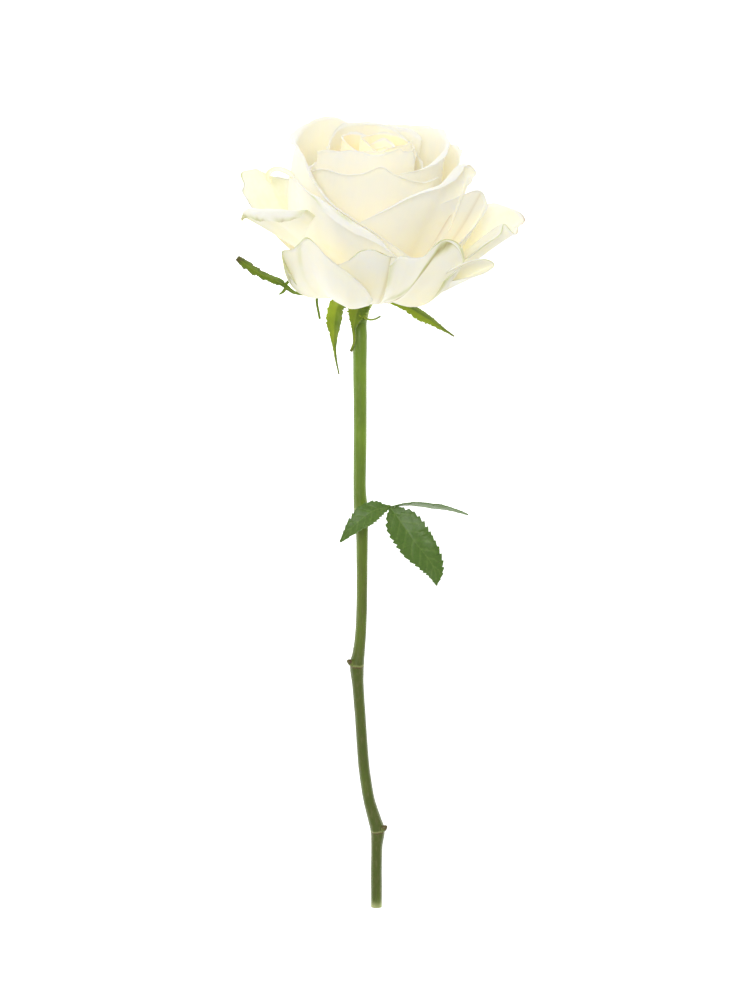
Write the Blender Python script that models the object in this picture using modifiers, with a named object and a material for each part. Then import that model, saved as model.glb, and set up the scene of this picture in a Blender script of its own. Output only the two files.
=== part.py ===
"""A cut white rose, laid on its back on a table.

The stem runs along +Y from its cut end to the bloom, whose face leans up, towards +Z. It rests on the
lowest petals and on the cut end. Four nodes: bloom, calyx, stem and leaf. Lengths below are in millimetres
and angles in degrees; MM turns them to Blender's metres when a mesh is made.
"""

import math
from dataclasses import dataclass, replace

import bmesh
import bpy
from mathutils import Matrix, Vector

MM = 0.001
GAP = 0.3  # between two nodes that touch on the real flower

# ---- driving dimensions -------------------------------------------------------------------------------
BLOOM_BASE = Vector((-6.0, 252.0, 41.0))  # where the petals meet the receptacle, from the foot of the stem
BLOOM_RISE = 18.0  # how far the bloom's axis points up from the table
BLOOM_LEAN = 8.0  # how far it leans to the right, seen from above
PETAL_THICKNESS = 0.8
GREEN_THICKNESS = 0.8  # sepals and leaflets
CORE_PROFILE = [(5.0, -0.5), (9.5, 0.5), (14.5, 6.0), (17.5, 14.0), (18.0, 24.0), (15.5, 38.0), (8.0, 49.0),
                (0.0, 51.0)]
RECEPTACLE_PROFILE = [(0.0, -0.8), (5.4, -0.8), (6.2, -2.0), (6.2, -3.6), (5.0, -6.0), (3.6, -8.6), (2.9, -11.5)]
RECEPTACLE_END = 11.5
STEM_SLOPE = 0.150  # rise of the stem's middle line for each millimetre along the table
LIP_SHARE = 3 / 7  # share of a petal blade's rows that its rolled lip takes
CURL_START = 0.72  # where, from the middle line to the side edge, a petal's side begins to roll
HEART_PETALS = 5
HEART_TURN = 137.5
SLIVER = 0.002  # edges this short, left where two petals cross, are closed up


def bloom_matrix():
    """From the bloom's own millimetres (x right, y away from the upper side, z along its axis) to the table's."""
    rise, lean = math.radians(BLOOM_RISE), math.radians(BLOOM_LEAN)
    axis = Vector((math.sin(lean) * math.cos(rise), math.cos(lean) * math.cos(rise), math.sin(rise)))
    right = Vector((math.cos(lean), -math.sin(lean), 0.0))
    rows = Matrix((right, axis.cross(right), axis)).transposed()
    return Matrix.Translation(BLOOM_BASE) @ rows.to_4x4()


BLOOM = bloom_matrix()


# ---- petals -------------------------------------------------------------------------------------------
@dataclass(frozen=True)
class Petal:
    """One petal, by the course of its rim round the bloom's axis.

    azimuth is 0 at the bloom's right and -90 on its upper side. left, middle and right are the rim at the
    petal's side edges and its middle line, seen from outside: (radius, height, radius of the rolled lip,
    angle that the lip rolls outwards). leave and arrive are the slope of the blade at its claw and its rim.
    """

    azimuth: float
    spread: float
    left: tuple
    middle: tuple
    right: tuple
    leave: float = 0.0
    arrive: float = 85.0
    peak: tuple = (0.0, 0.0, 0.15)  # height, place and width of a pointed tip on the rim
    curl: tuple = (0.0, 0.0)  # how far the left and right side edges roll outwards
    wave: float = 0.5
    waves: float = 2.0
    base: tuple = (6.5, 0.4)
    root: float = 0.0  # share of the blade, from its claw, that stays in the core and isn't made
    columns: int = 6
    rows: int = 7


def heart_petals():
    """The tight spiral in the middle: each petal a golden angle on from the last, and outside it."""
    petals = []
    for i in range(HEART_PETALS):
        radius, height = 2.8 + 1.9 * i, 59.0 + 0.6 * i
        petals.append(Petal(
            -60.0 + HEART_TURN * i, 100.0 - 7.0 * i, (radius - 0.8, height - 1.0, 0.9, 30),
            (radius, height, 0.9, 30), (radius + 1.0, height - 1.5, 0.9, 20), 80, 96, wave=0.2,
            base=(1.5, 20.0), root=0.5, columns=5, rows=4))
    return petals


INNER_PETALS = [
    Petal(-62, 66, (13, 58, 1, 40), (13.5, 60, 1, 50), (13, 59, 1, 40), 60, 93, root=0.4, columns=5, rows=4),
    Petal(66, 68, (13, 60, 1, 40), (14, 62, 1, 50), (13, 60, 1, 40), 60, 93, root=0.4, columns=5, rows=4),
    Petal(182, 66, (13, 60, 1, 40), (14, 61, 1, 50), (13, 58, 1, 40), 60, 93, root=0.4, columns=5, rows=4),
    Petal(-100, 66, (25.5, 56.5, 1.2, 70), (19, 59.5, 1.2, 60), (18.5, 57.5, 1, 40), 45, 92, (2.4, 0.48, 0.15), rows=5),
    Petal(16, 62, (18, 60, 1.4, 50), (20.5, 62, 1.6, 70), (20, 61, 1.4, 50), 45, 92, rows=5),
    Petal(128, 58, (20, 62, 1.4, 50), (21, 63, 1.6, 70), (22, 57, 1.4, 50), 45, 92, rows=5),
    Petal(-96, 66, (27, 46.5, 1.6, 110), (26, 51.5, 1.3, 110), (27, 52, 1.6, 110), 25, 90, (4.6, 0.19, 0.13)),
    Petal(28, 58, (25, 55, 1.6, 80), (27, 60, 2, 90), (26, 61, 1.6, 80), 25, 90, rows=5),
    Petal(98, 50, (26, 61, 1.6, 80), (26.5, 61.5, 2, 90), (27, 52, 1.6, 80), 25, 90, rows=5),
    Petal(170, 54, (27, 56, 1.6, 80), (27.5, 57, 2, 90), (28, 49, 1.6, 80), 25, 90, rows=5),
]

MIDDLE_PETALS = [
    Petal(146, 56, (33, 58, 2, 70), (36, 59, 3, 120), (38, 47, 3, 120), 12, 86, (1.8, -0.35, 0.18), (0, 80), columns=7),
    Petal(10, 80, (27, 53.5, 1.8, 110), (34.5, 59, 2.8, 110), (31, 60.5, 1.4, 60), 12, 86, (1.8, 0.65, 0.2), columns=7),
    Petal(15, 42, (39, 55, 1.6, 60), (39, 57.5, 1.6, 60), (37, 58.5, 1.6, 60), 8, 86, rows=6),
    Petal(84, 46, (36, 58, 1.8, 70), (37, 59, 2.2, 90), (36, 58, 1.8, 70), 8, 84, rows=5),
    Petal(-108, 45, (37, 53.5, 2, 120), (37.5, 38.5, 2, 130), (42.5, 23.5, 1.6, 120), 10, 80, columns=7),
    Petal(-62, 34, (36, 34.5, 1, 90), (38.5, 50.5, 1.6, 120), (42, 59, 3.2, 110), 8, 80, (1.2, 0.45, 0.2), columns=7),
]

OUTER_PETALS = [
    Petal(-110, 34, (40, 48, 2.4, 120), (42.5, 39, 3, 160), (45.5, 27, 2.4, 130), 4, 78, (2.0, -0.25, 0.2), (60, 0), columns=7),
    Petal(-5, 38, (41, 53.5, 1.6, 60), (46, 43.5, 1.6, 50), (45, 46, 2, 60), 4, 74, rows=6),
    Petal(68, 42, (43, 51, 2.4, 90), (44, 52, 3, 110), (42, 50, 2.4, 90), 2, 74, rows=5),
    Petal(118, 38, (42, 52, 2.4, 90), (43, 51, 3, 110), (42, 48, 2.4, 90), 2, 74, rows=5),
    Petal(170, 40, (41, 49, 2.4, 90), (42, 46, 3, 110), (40, 42, 2.4, 90), 2, 76, rows=6),
]

GUARD_PETALS = [
    Petal(-113, 34, (40, 15, 2, 90), (37.5, 20, 1.6, 60), (29.5, 6, 1, 30), -26, 84, (4.5, -0.42, 0.16), (80, 0)),
    Petal(-86, 20, (38, 17, 1.2, 60), (39, 25.5, 1.4, 70), (39, 25, 1.2, 60), -22, 84, columns=5, rows=6),
    Petal(-50, 23, (40, 25, 1.6, 90), (44.5, 31.5, 2, 90), (46, 20.5, 1.6, 90), -22, 76, (1.6, 0.25, 0.3)),
    Petal(-22, 14, (45, 15, 1.6, 60), (55, 22, 2, 60), (48, 22, 1.6, 60), -10, 32, columns=5, rows=6),
    Petal(-2, 21, (51, 31, 2, 110), (60, 36.5, 2.6, 130), (48, 39, 2, 90), -4, 44),
    Petal(42, 28, (48, 32, 2, 80), (52, 34, 2.4, 90), (52, 28, 2, 60), -12, 56, rows=6),
    Petal(88, 30, (53, 27, 2, 50), (55.5, 26, 2.4, 60), (53, 27, 2, 50), -16, 56, rows=6),
    Petal(134, 28, (52, 28, 2, 60), (51, 32, 2.4, 90), (48, 32, 2, 80), -12, 56, rows=6),
    Petal(178, 25, (47, 37, 2.4, 90), (54.5, 38, 1.6, 40), (52, 32, 1.6, 40), 6, 48, wave=1.2, waves=3, rows=6),
    Petal(-142, 18, (54.5, 29.5, 2.4, 150), (49, 34.5, 2.6, 165), (43, 36, 2.4, 150), 12, 50),
]


def standing(petals, radius, height):
    """The petals with their claws at this radius and height."""
    return [replace(petal, base=(radius, height)) for petal in petals]


def smooth(x):
    """0 below 0, 1 above 1 and an S curve between."""
    x = min(1.0, max(0.0, x))
    return x * x * (3.0 - 2.0 * x)


def across(petal, u, part):
    """One part of the rim's (radius, height, lip, roll) at u, by a curve through left, middle and right."""
    left, middle, right = petal.left[part], petal.middle[part], petal.right[part]
    return middle + (right - left) / 2 * u + ((right + left) / 2 - middle) * u * u


def petal_point(petal, u, v):
    """The point of the blade at u, -1 to 1 across, and v, 0 at the claw to 1 at the rim's end, in millimetres."""
    v = petal.root + (1.0 - petal.root) * v
    v *= 1.0 - 0.14 * abs(u) ** 6  # rounds the shoulders off
    height, place, width = petal.peak
    lip, roll = across(petal, u, 2), math.radians(across(petal, u, 3))
    leave, arrive = math.radians(petal.leave), math.radians(petal.arrive)
    out = Vector((math.cos(leave), math.sin(leave)))
    up = Vector((math.cos(arrive), math.sin(arrive)))
    outward = Vector((up.y, -up.x))
    top = min(roll, arrive)  # the lip is highest here, and the rim's radius and height are meant there
    rim = Vector((across(petal, u, 0), across(petal, u, 1) + height * math.exp(-(((u - place) / width) ** 2))))
    rim -= lip * (math.sin(top) * up + (1.0 - math.cos(top)) * outward)
    claw = Vector(petal.base)
    reach = 0.44 * (rim - claw).length
    body = min(1.0, v / (1.0 - LIP_SHARE))
    a, b = claw + reach * out, rim - reach * up
    w = 1.0 - body
    profile = w**3 * claw + 3 * w * w * body * a + 3 * w * body * body * b + body**3 * rim
    turn = roll * max(0.0, v - 1.0 + LIP_SHARE) / LIP_SHARE
    profile += lip * (math.sin(turn) * up + (1.0 - math.cos(turn)) * outward)
    ripple = petal.wave * math.sin(petal.waves * math.pi * u) * smooth(2.0 * v - 1.0)
    radius, height = profile.x + ripple, profile.y + 0.7 * ripple
    angle = petal.azimuth + u * petal.spread
    curl = math.radians(petal.curl[0] if u < 0 else petal.curl[1]) * smooth((v - 0.3) / 0.4)
    rolled = (abs(u) - CURL_START) / (1.0 - CURL_START)
    if rolled > 0.0 and curl > 0.01:
        length = math.radians(petal.spread) * radius * (1.0 - CURL_START)
        along_rim = length / curl * math.sin(curl * rolled) - length * rolled
        angle += math.copysign(math.degrees(along_rim / radius), u)
        radius += length / curl * (1.0 - math.cos(curl * rolled))
    angle = math.radians(angle)
    point = BLOOM @ Vector((radius * math.cos(angle), radius * math.sin(angle), height))
    point.z = max(point.z, PETAL_THICKNESS / 2)  # what lies under the bloom is pressed flat on the table
    return point


# ---- building helpers ---------------------------------------------------------------------------------
def clear_scene():
    for item in list(bpy.data.objects):
        bpy.data.objects.remove(item)


def new_collection(name, helper=False):
    made = bpy.data.collections.new(name)
    bpy.context.scene.collection.children.link(made)
    made.hide_render = helper
    return made


def new_object(name, mesh, collection):
    made = bpy.data.objects.new(name, mesh)
    collection.objects.link(made)
    return made


def blade(name, collection, place, columns, rows, thickness):
    """A thin curved plate: a grid whose points are put where place(u, v) says, given its thickness by Solidify."""
    cage = bmesh.new()
    bmesh.ops.create_grid(cage, x_segments=columns, y_segments=rows, size=1.0)
    for vertex in cage.verts:
        vertex.co = place(vertex.co.x, (vertex.co.y + 1.0) / 2.0) * MM
    bmesh.ops.triangulate(cage, faces=cage.faces)
    mesh = bpy.data.meshes.new(name)
    cage.to_mesh(mesh)
    cage.free()
    made = new_object(name, mesh, collection)
    shell = made.modifiers.new("thickness", "SOLIDIFY")
    shell.thickness = thickness * MM
    shell.offset = 0.0
    return made


def turned(name, collection, profile, steps):
    """A solid of revolution about the bloom's axis, from a profile of (radius, height) that starts and ends on it."""
    mesh = bpy.data.meshes.new(name)
    points = [(radius * MM, 0.0, height * MM) for radius, height in profile]
    mesh.from_pydata(points, [(i, i + 1) for i in range(len(points) - 1)], [])
    made = new_object(name, mesh, collection)
    spin = made.modifiers.new("turn", "SCREW")
    spin.steps = spin.render_steps = steps
    spin.use_merge_vertices = True
    spin.merge_threshold = 0.00001
    spin.use_normal_calculate = True
    scaled = BLOOM.copy()
    scaled.translation *= MM
    made.matrix_world = scaled
    return made


def baked(source, name, collection):
    """The object's evaluated mesh as a plain object of its own, in table coordinates. The source is removed."""
    bpy.context.view_layer.update()
    graph = bpy.context.evaluated_depsgraph_get()
    mesh = bpy.data.meshes.new_from_object(source.evaluated_get(graph))
    mesh.transform(source.matrix_world)
    bpy.data.objects.remove(source)
    shape = bmesh.new()
    shape.from_mesh(mesh)
    bmesh.ops.remove_doubles(shape, verts=shape.verts, dist=0.000002)
    bmesh.ops.recalc_face_normals(shape, faces=shape.faces)
    shape.to_mesh(mesh)
    shape.free()
    return new_object(name, mesh, collection)


def islands(shape):
    """The mesh's separate closed surfaces, each as a list of faces."""
    todo, found = set(shape.faces), []
    while todo:
        start = todo.pop()
        group, edge = [start], [start]
        while edge:
            face = edge.pop()
            for loop in face.loops:
                for other in loop.edge.link_faces:
                    if other in todo:
                        todo.remove(other)
                        group.append(other)
                        edge.append(other)
        found.append(group)
    return found


def volume_of(faces):
    """Signed volume inside a closed surface: negative for the wall of a hollow."""
    total = 0.0
    for face in faces:
        first = face.verts[0].co
        for a, b in zip(face.verts[1:], face.verts[2:]):
            total += first.dot(a.co.cross(b.co)) / 6.0
    return total


def fused(name, base, pieces, collection, solver="MANIFOLD"):
    """base and every object of the collection pieces, joined in one closed body. Sealed hollows are filled."""
    union = base.modifiers.new("join", "BOOLEAN")
    union.operation = "UNION"
    union.solver = solver
    union.operand_type = "COLLECTION"
    union.collection = pieces
    made = baked(base, name, collection)
    for piece in list(pieces.objects):
        bpy.data.objects.remove(piece)
    shape = bmesh.new()
    shape.from_mesh(made.data)
    bmesh.ops.dissolve_degenerate(shape, dist=SLIVER * MM, edges=shape.edges)
    bmesh.ops.triangulate(shape, faces=shape.faces)
    groups = sorted(islands(shape), key=volume_of)
    for group in groups[:-1]:
        bmesh.ops.delete(shape, geom=group, context="FACES")
    bmesh.ops.delete(shape, geom=[v for v in shape.verts if not v.link_faces], context="VERTS")
    shape.to_mesh(made.data)
    shape.free()
    return made


def colour(made, name, rgb, roughness):
    finish = bpy.data.materials.new(name)
    finish.use_nodes = True
    shader = finish.node_tree.nodes["Principled BSDF"]
    shader.inputs["Base Color"].default_value = (*rgb, 1.0)
    shader.inputs["Roughness"].default_value = roughness
    shader.inputs["Metallic"].default_value = 0.0
    made.data.materials.clear()
    made.data.materials.append(finish)
    made.data.shade_smooth()
    made.data.set_sharp_from_angle(angle=math.radians(40))


# ---- the bloom ----------------------------------------------------------------------------------------
def build_bloom(parts):
    """All the petals, fused at their claws to a small core that they stand out of."""
    blades = new_collection("petal_blades", helper=True)
    petals = heart_petals() + standing(INNER_PETALS, 9.0, 5.0) + standing(MIDDLE_PETALS, 8.0, 2.8)
    petals += standing(OUTER_PETALS, 7.0, 1.5) + GUARD_PETALS
    for number, petal in enumerate(petals):
        made = blade(f"petal_{number}", blades, lambda u, v, p=petal: petal_point(p, u, v),
                     petal.columns, petal.rows, PETAL_THICKNESS)
        baked(made, f"petal_blade_{number}", blades)
    core = turned("bloom_core", parts, [(0.0, CORE_PROFILE[0][1])] + CORE_PROFILE, 16)
    bloom = fused("bloom", baked(core, "bloom_body", parts), blades, parts)
    colour(bloom, "white_petal", (0.86, 0.84, 0.72), 0.55)
    return bloom


# ---- blades that follow a route -----------------------------------------------------------------------
def along(points, t):
    """The point at t, 0 to 1, of the smooth (Catmull-Rom) curve through the points."""
    span = t * (len(points) - 1)
    i = min(int(span), len(points) - 2)
    f = span - i
    p1, p2 = points[i], points[i + 1]
    p0 = points[i - 1] if i > 0 else p1 + (p1 - p2)
    p3 = points[i + 2] if i + 2 < len(points) else p2 + (p2 - p1)
    return 0.5 * (2 * p1 + (p2 - p0) * f + (2 * p0 - 5 * p1 + 4 * p2 - p3) * f * f
                  + (3 * p1 - p0 - 3 * p2 + p3) * f**3)


@dataclass(frozen=True)
class Ribbon:
    """A green blade along a route: half widths at even steps from its base, and the way that its face looks."""

    route: tuple
    widths: tuple
    face: tuple  # direction that the blade's upper face looks
    trough: float = 0.3  # how far the edges lift towards the face, as a share of the half width
    teeth: int = 0
    tooth: float = 0.0  # depth of a tooth
    columns: int = 2
    rows: int = 10


def ribbon_point(ribbon, u, v):
    """The point of the ribbon at u, -1 to 1 across, and v, 0 to 1 along it."""
    points = [Vector(p) for p in ribbon.route]
    middle = along(points, v)
    ahead = along(points, min(1.0, v + 0.02)) - along(points, max(0.0, v - 0.02))
    side = ahead.cross(Vector(ribbon.face)).normalized()
    face = side.cross(ahead).normalized()
    half = along([Vector((w, 0.0, 0.0)) for w in ribbon.widths], v).x
    if ribbon.teeth:
        step = v * ribbon.teeth
        half -= ribbon.tooth * (step - math.floor(step)) * min(1.0, half / 3.0)
    half = max(half, 0.25)
    return middle + side * (u * half) + face * (ribbon.trough * half * u * u)


def from_bloom(points):
    """Route points given as (right, along the axis, towards the upper side) of the bloom, in table millimetres."""
    return tuple(BLOOM @ Vector((right, -front, up)) for right, up, front in points)


def facing(right, up, front):
    return tuple(BLOOM.to_3x3() @ Vector((right, -front, up)))


# ---- calyx --------------------------------------------------------------------------------------------
SEPALS = [
    Ribbon(from_bloom([(0, -3.2, 3), (-0.2, -5.6, 8), (-0.7, -10, 8.4), (-0.8, -14.5, 8), (0.2, -20, 7.8),
                       (-0.6, -24.5, 7.6)]),
           (3.4, 4.3, 2.6, 0.9, 0.5, 0.5), facing(0, 0, 1)),
    Ribbon(from_bloom([(-3, -4, 2.4), (-8, -6, 6.4), (-8.8, -13, 6.6), (-7.6, -23, 6.4), (-6.2, -29, 6.4),
                       (-4.2, -35, 6.4)]),
           (2.6, 3.0, 3.2, 0.9, 0.4, 0.3), facing(-0.4, 0, 1), rows=12),
    Ribbon(from_bloom([(3, -4.6, 0.5), (10, -5.6, 0), (17.9, -5.2, 0), (24.4, -7.2, 0), (29.1, -9.3, 0),
                       (34.3, -11.9, 0), (39.5, -14.5, 0)]),
           (2.0, 1.6, 2.2, 2.4, 1.8, 0.8, 0.3), facing(0.1, -0.4, 1), rows=12),
    Ribbon(from_bloom([(-3, -4, 0), (-12, -7.8, -2.5), (-25.5, -6.8, -4), (-32, -3.6, -4), (-40, -1.2, -4),
                       (-45, 0.9, -4), (-51, 4.3, -4)]),
           (2.0, 1.2, 0.7, 1.7, 2.1, 2.0, 0.9), facing(0, -0.3, 1), rows=14),
    Ribbon(from_bloom([(-2.2, -3.6, -2.2), (-8, -7, -6), (-13, -8.5, -6.5), (-17.2, -9, -4.5),
                       (-15.0, -16, -3.5)]),
           (2.4, 2.4, 1.2, 0.5, 0.4), facing(-0.3, -1, -1)),
    Ribbon(from_bloom([(0.6, -9, 8.4), (4.5, -10.2, 8.6), (7.0, -9.8, 8.4), (9.2, -8.4, 7.8)]),
           (0.8, 0.6, 0.5, 0.4), facing(0, 1, 0), rows=5),
]


def build_calyx(parts):
    """The receptacle with its reflexed sepals and one loose side lobe."""
    blades = new_collection("sepal_blades", helper=True)
    for number, sepal in enumerate(SEPALS):
        made = blade(f"sepal_{number}", blades, lambda u, v, s=sepal: ribbon_point(s, u, v),
                     sepal.columns, sepal.rows, GREEN_THICKNESS)
        baked(made, f"sepal_blade_{number}", blades)
    profile = RECEPTACLE_PROFILE + [(0.0, -RECEPTACLE_END)]
    urn = turned("receptacle", parts, profile, 20)
    calyx = fused("calyx", baked(urn, "receptacle_body", parts), blades, parts)
    colour(calyx, "fresh_green", (0.16, 0.24, 0.04), 0.5)
    return calyx


# ---- stem ---------------------------------------------------------------------------------------------
# Where the stem's middle line runs over the table (x, y) and its radius there. It kinks at each joint.
STEM_COURSE = [
    (0.0, 0.0, 2.25), (0.0, 14.5, 2.25), (0.1, 25.0, 2.3), (0.5, 31.5, 2.9), (-0.6, 36.0, 2.7), (-2.9, 44.0, 2.35),
    (-4.3, 52.3, 2.3), (-5.3, 60.4, 2.25), (-6.4, 76.7, 2.2), (-7.0, 84.8, 2.25), (-7.6, 93.0, 2.4),
    (-7.9, 100.0, 2.9), (-7.2, 105.3, 2.5), (-6.4, 112.9, 2.25), (-5.9, 125.1, 2.2), (-5.8, 142.2, 2.25),
    (-5.8, 152.4, 2.4), (-6.2, 163.5, 2.9), (-6.7, 171.0, 2.55), (-6.6, 187.0, 2.6), (-6.5, 203.8, 2.65),
    (-6.6, 220.0, 2.75), (-7.2, 232.0, 2.85),
]
JOINTS = (3, 11, 17)  # which points of the course are swollen joints
STEM_STEP = 6.0


def stem_middle(x, y, radius=2.25):
    """A point of the stem's middle line: it climbs from the table at an even slope."""
    foot = 2.25 * math.cos(math.atan(STEM_SLOPE))
    return Vector((x, y, foot + STEM_SLOPE * y))


def stem_points():
    """Smooth points of the stem from its foot to the receptacle, each with its radius."""
    course = [(stem_middle(x, y), radius) for x, y, radius in STEM_COURSE]
    neck = BLOOM @ Vector((0.0, 0.0, -RECEPTACLE_END - GAP))
    course += [(neck - away * BLOOM.col[2].xyz, 2.9) for away in (9.0, 4.5, 0.0)]
    places = [place for place, _ in course]
    sizes = [Vector((radius, 0.0, 0.0)) for _, radius in course]
    steps = 3 * (len(course) - 1)
    return [(along(places, i / steps), along(sizes, i / steps).x) for i in range(steps + 1)]


def tube(name, collection, points, sides=2):
    """A tube of changing radius along the points, as a POLY curve with caps, made a closed mesh."""
    line = bpy.data.curves.new(name, "CURVE")
    line.dimensions = "3D"
    line.bevel_depth = MM
    line.bevel_resolution = sides
    line.use_fill_caps = True
    spline = line.splines.new("POLY")
    spline.points.add(len(points) - 1)
    for item, (place, radius) in zip(spline.points, points):
        item.co = (*(place * MM), 1.0)
        item.radius = radius
    return baked(new_object(name + "_curve", line, collection), name, collection)


def bud(name, collection, place, direction, length, radius):
    """A small pointed bud: a cone whose base is sunk in the stem."""
    shape = bmesh.new()
    bmesh.ops.create_cone(shape, cap_ends=True, segments=7, radius1=radius * MM, radius2=0.15 * radius * MM,
                          depth=length * MM)
    turn = Vector(direction).to_track_quat("Z", "Y").to_matrix().to_4x4()
    shape.transform(Matrix.Translation(place * MM) @ turn @ Matrix.Translation((0, 0, length * MM / 2)))
    mesh = bpy.data.meshes.new(name)
    shape.to_mesh(mesh)
    shape.free()
    return new_object(name, mesh, collection)


def build_stem(parts):
    """The stem from its cut end to the receptacle, with a bud over each of its two lower joints."""
    blades = new_collection("stem_buds", helper=True)
    lower, upper, _ = [stem_middle(*STEM_COURSE[i][:2]) for i in JOINTS]
    bud("lower_bud", blades, lower + Vector((0.8, 0.2, 0.8)), (0.75, 0.55, 0.45), 4.0, 1.5)
    bud("upper_bud", blades, upper + Vector((-0.8, 0.2, 0.8)), (-0.8, 0.5, 0.4), 4.0, 1.5)
    stem = fused("stem", tube("stem_tube", parts, stem_points()), blades, parts)
    colour(stem, "stem_green", (0.14, 0.2, 0.05), 0.45)
    return stem


# ---- leaf ---------------------------------------------------------------------------------------------
LEAF_JOINT = Vector((5.4, 164.6, 34.5))  # where the three leaflets meet
LEAFLETS = [
    Ribbon(((5.2, 164.4, 34.5), (-1.0, 163.0, 36.6), (-8.0, 158.0, 37.6), (-14.6, 150.4, 35.6)),
           (0.5, 3.9, 4.9, 3.1, 0.3), (0.05, 0.45, 1), 0.15, 9, 0.7, 2, 18),
    Ribbon(((5.4, 164.4, 34.5), (9.6, 157.0, 36.2), (14.4, 148.0, 36.4), (19.6, 139.4, 34.0), (25.0, 133.6, 30.0)),
           (0.6, 6.2, 7.6, 6.8, 4.6, 0.3), (0.15, 0.1, 1), 0.22, 10, 0.8, 2, 20),
    Ribbon(((5.6, 164.6, 34.3), (14.0, 165.4, 33.6), (23.0, 164.4, 32.6), (31.0, 163.0, 31.0), (37.0, 161.4, 29.4)),
           (0.5, 4.8, 5.6, 3.6, 0.3), (0, 1, -0.12), 0.1, 9, 0.7, 2, 18),
]


def build_leaf(parts):
    """A compound leaf: a short petiole from the stem's third joint, and three toothed leaflets."""
    blades = new_collection("leaflet_blades", helper=True)
    for number, leaflet in enumerate(LEAFLETS):
        made = blade(f"leaflet_{number}", blades, lambda u, v, s=leaflet: ribbon_point(s, u, v),
                     leaflet.columns, leaflet.rows, GREEN_THICKNESS)
        baked(made, f"leaflet_blade_{number}", blades)
    joint = stem_middle(*STEM_COURSE[JOINTS[2]][:2])
    start = joint + Vector((2.9 + GAP, 0.0, 1.2))
    course = [start, start + Vector((2.0, 1.0, 1.8)), start + Vector((5.4, 1.3, 4.4)), LEAF_JOINT]
    points = [(along(course, i / 8), 1.0 - 0.3 * i / 8) for i in range(9)]
    leaf = fused("leaf", tube("petiole", parts, points), blades, parts)
    colour(leaf, "leaf_green", (0.1, 0.2, 0.05), 0.45)
    return leaf


def settle_on_origin(nodes):
    """Moves the whole rose so that the origin is on the table, under the middle of its box."""
    bpy.context.view_layer.update()
    corners = [node.matrix_world @ vertex.co for node in nodes for vertex in node.data.vertices]
    low = Vector([min(c[i] for c in corners) for i in range(3)])
    high = Vector([max(c[i] for c in corners) for i in range(3)])
    for node in nodes:
        node.location -= Vector(((low.x + high.x) / 2, (low.y + high.y) / 2, low.z))
    print("rose box mm", [round(x / MM, 2) for x in high - low], "origin from foot",
          [round(x / MM, 2) for x in ((low.x + high.x) / 2, (low.y + high.y) / 2, low.z)])


def main():
    clear_scene()
    parts = new_collection("cut_rose")
    settle_on_origin([build_bloom(parts), build_calyx(parts), build_stem(parts), build_leaf(parts)])


main()
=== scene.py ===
"""A cut white rose, laid on its back on a table, finished as the real flower is.

The solids of the frame give its size and place. Here every petal, sepal and leaflet is made again as a thin,
ruffled blade with its own tints, and the stem with its joints, scars and buds. Lengths are in millimetres
from the cut end of the stem until a mesh is placed, and angles are in degrees.
"""

import logging
import math
from collections.abc import Callable
from dataclasses import dataclass, replace
from enum import Enum

import bpy
from mathutils import Matrix, Vector, noise


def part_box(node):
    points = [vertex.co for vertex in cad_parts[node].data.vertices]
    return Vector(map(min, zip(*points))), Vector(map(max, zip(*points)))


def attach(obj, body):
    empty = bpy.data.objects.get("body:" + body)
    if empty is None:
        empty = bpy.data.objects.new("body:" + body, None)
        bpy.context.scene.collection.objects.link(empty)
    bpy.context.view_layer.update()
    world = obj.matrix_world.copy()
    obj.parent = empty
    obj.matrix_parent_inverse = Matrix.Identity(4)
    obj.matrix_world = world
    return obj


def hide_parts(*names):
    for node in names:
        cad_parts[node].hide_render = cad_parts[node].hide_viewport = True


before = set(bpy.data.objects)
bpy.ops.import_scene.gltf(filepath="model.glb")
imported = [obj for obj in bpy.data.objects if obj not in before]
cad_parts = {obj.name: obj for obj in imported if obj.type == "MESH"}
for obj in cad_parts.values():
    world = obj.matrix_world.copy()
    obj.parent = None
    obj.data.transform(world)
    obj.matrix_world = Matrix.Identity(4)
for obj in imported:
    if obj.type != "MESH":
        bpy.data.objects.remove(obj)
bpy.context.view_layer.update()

LOG = logging.getLogger("cut_rose")
MM = 0.001
STEM_CORNER = Vector((-11.95, -0.33, 0.0))  # low corner of the stem's box, from the middle of its cut end
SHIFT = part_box("stem")[0] / MM - STEM_CORNER  # from the cut end of the stem to the frame's origin
# What parts one kind of noise on a petal from the next.
SALT_NICK, SALT_FINE, SALT_FRILL, SALT_SAG, SALT_GREEN, SALT_BROWN = 4.2, 8.2, 0.5, 2.5, 6.5, 9.5
Triple = tuple[float, float, float]
Rim = tuple[float, float, float, float]  # radius, height, lip radius and lip roll
Station = tuple[float, float, float, float, float]  # angle round the bloom's axis, then the four of a Rim
Place = Callable[[float, float], Vector]
Tone = Callable[[float, float], Triple]


class Part(Enum):
    """A node of the frame that finer pieces replace, and the name of a slot for its finish."""

    BLOOM = ("bloom", "petal")
    CALYX = ("calyx", "sepal")
    STEM = ("stem", "stem")
    LEAF = ("leaf", "leaf")


# ---- small tools ----
def linear(colour: str) -> tuple[float, float, float, float]:
    """Turn an sRGB hex colour into the linear values that Blender's sockets take.

    Args:
        colour: six hex digits with a leading "#".

    Returns:
        Red, green, blue and full opacity.
    """
    parts = [int(colour[i:i + 2], 16) / 255.0 for i in (1, 3, 5)]
    red, green, blue = [p / 12.92 if p <= 0.04045 else ((p + 0.055) / 1.055) ** 2.4 for p in parts]
    return red, green, blue, 1.0


def smooth(x: float) -> float:
    """Return 0 below 0, 1 above 1 and an S curve between."""
    x = min(1.0, max(0.0, x))
    return x * x * (3.0 - 2.0 * x)


def hump(x: float, middle: float, width: float) -> float:
    """Return a bell curve that is 1 at the middle and falls off over the width."""
    return math.exp(-(((x - middle) / width) ** 2))


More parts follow.
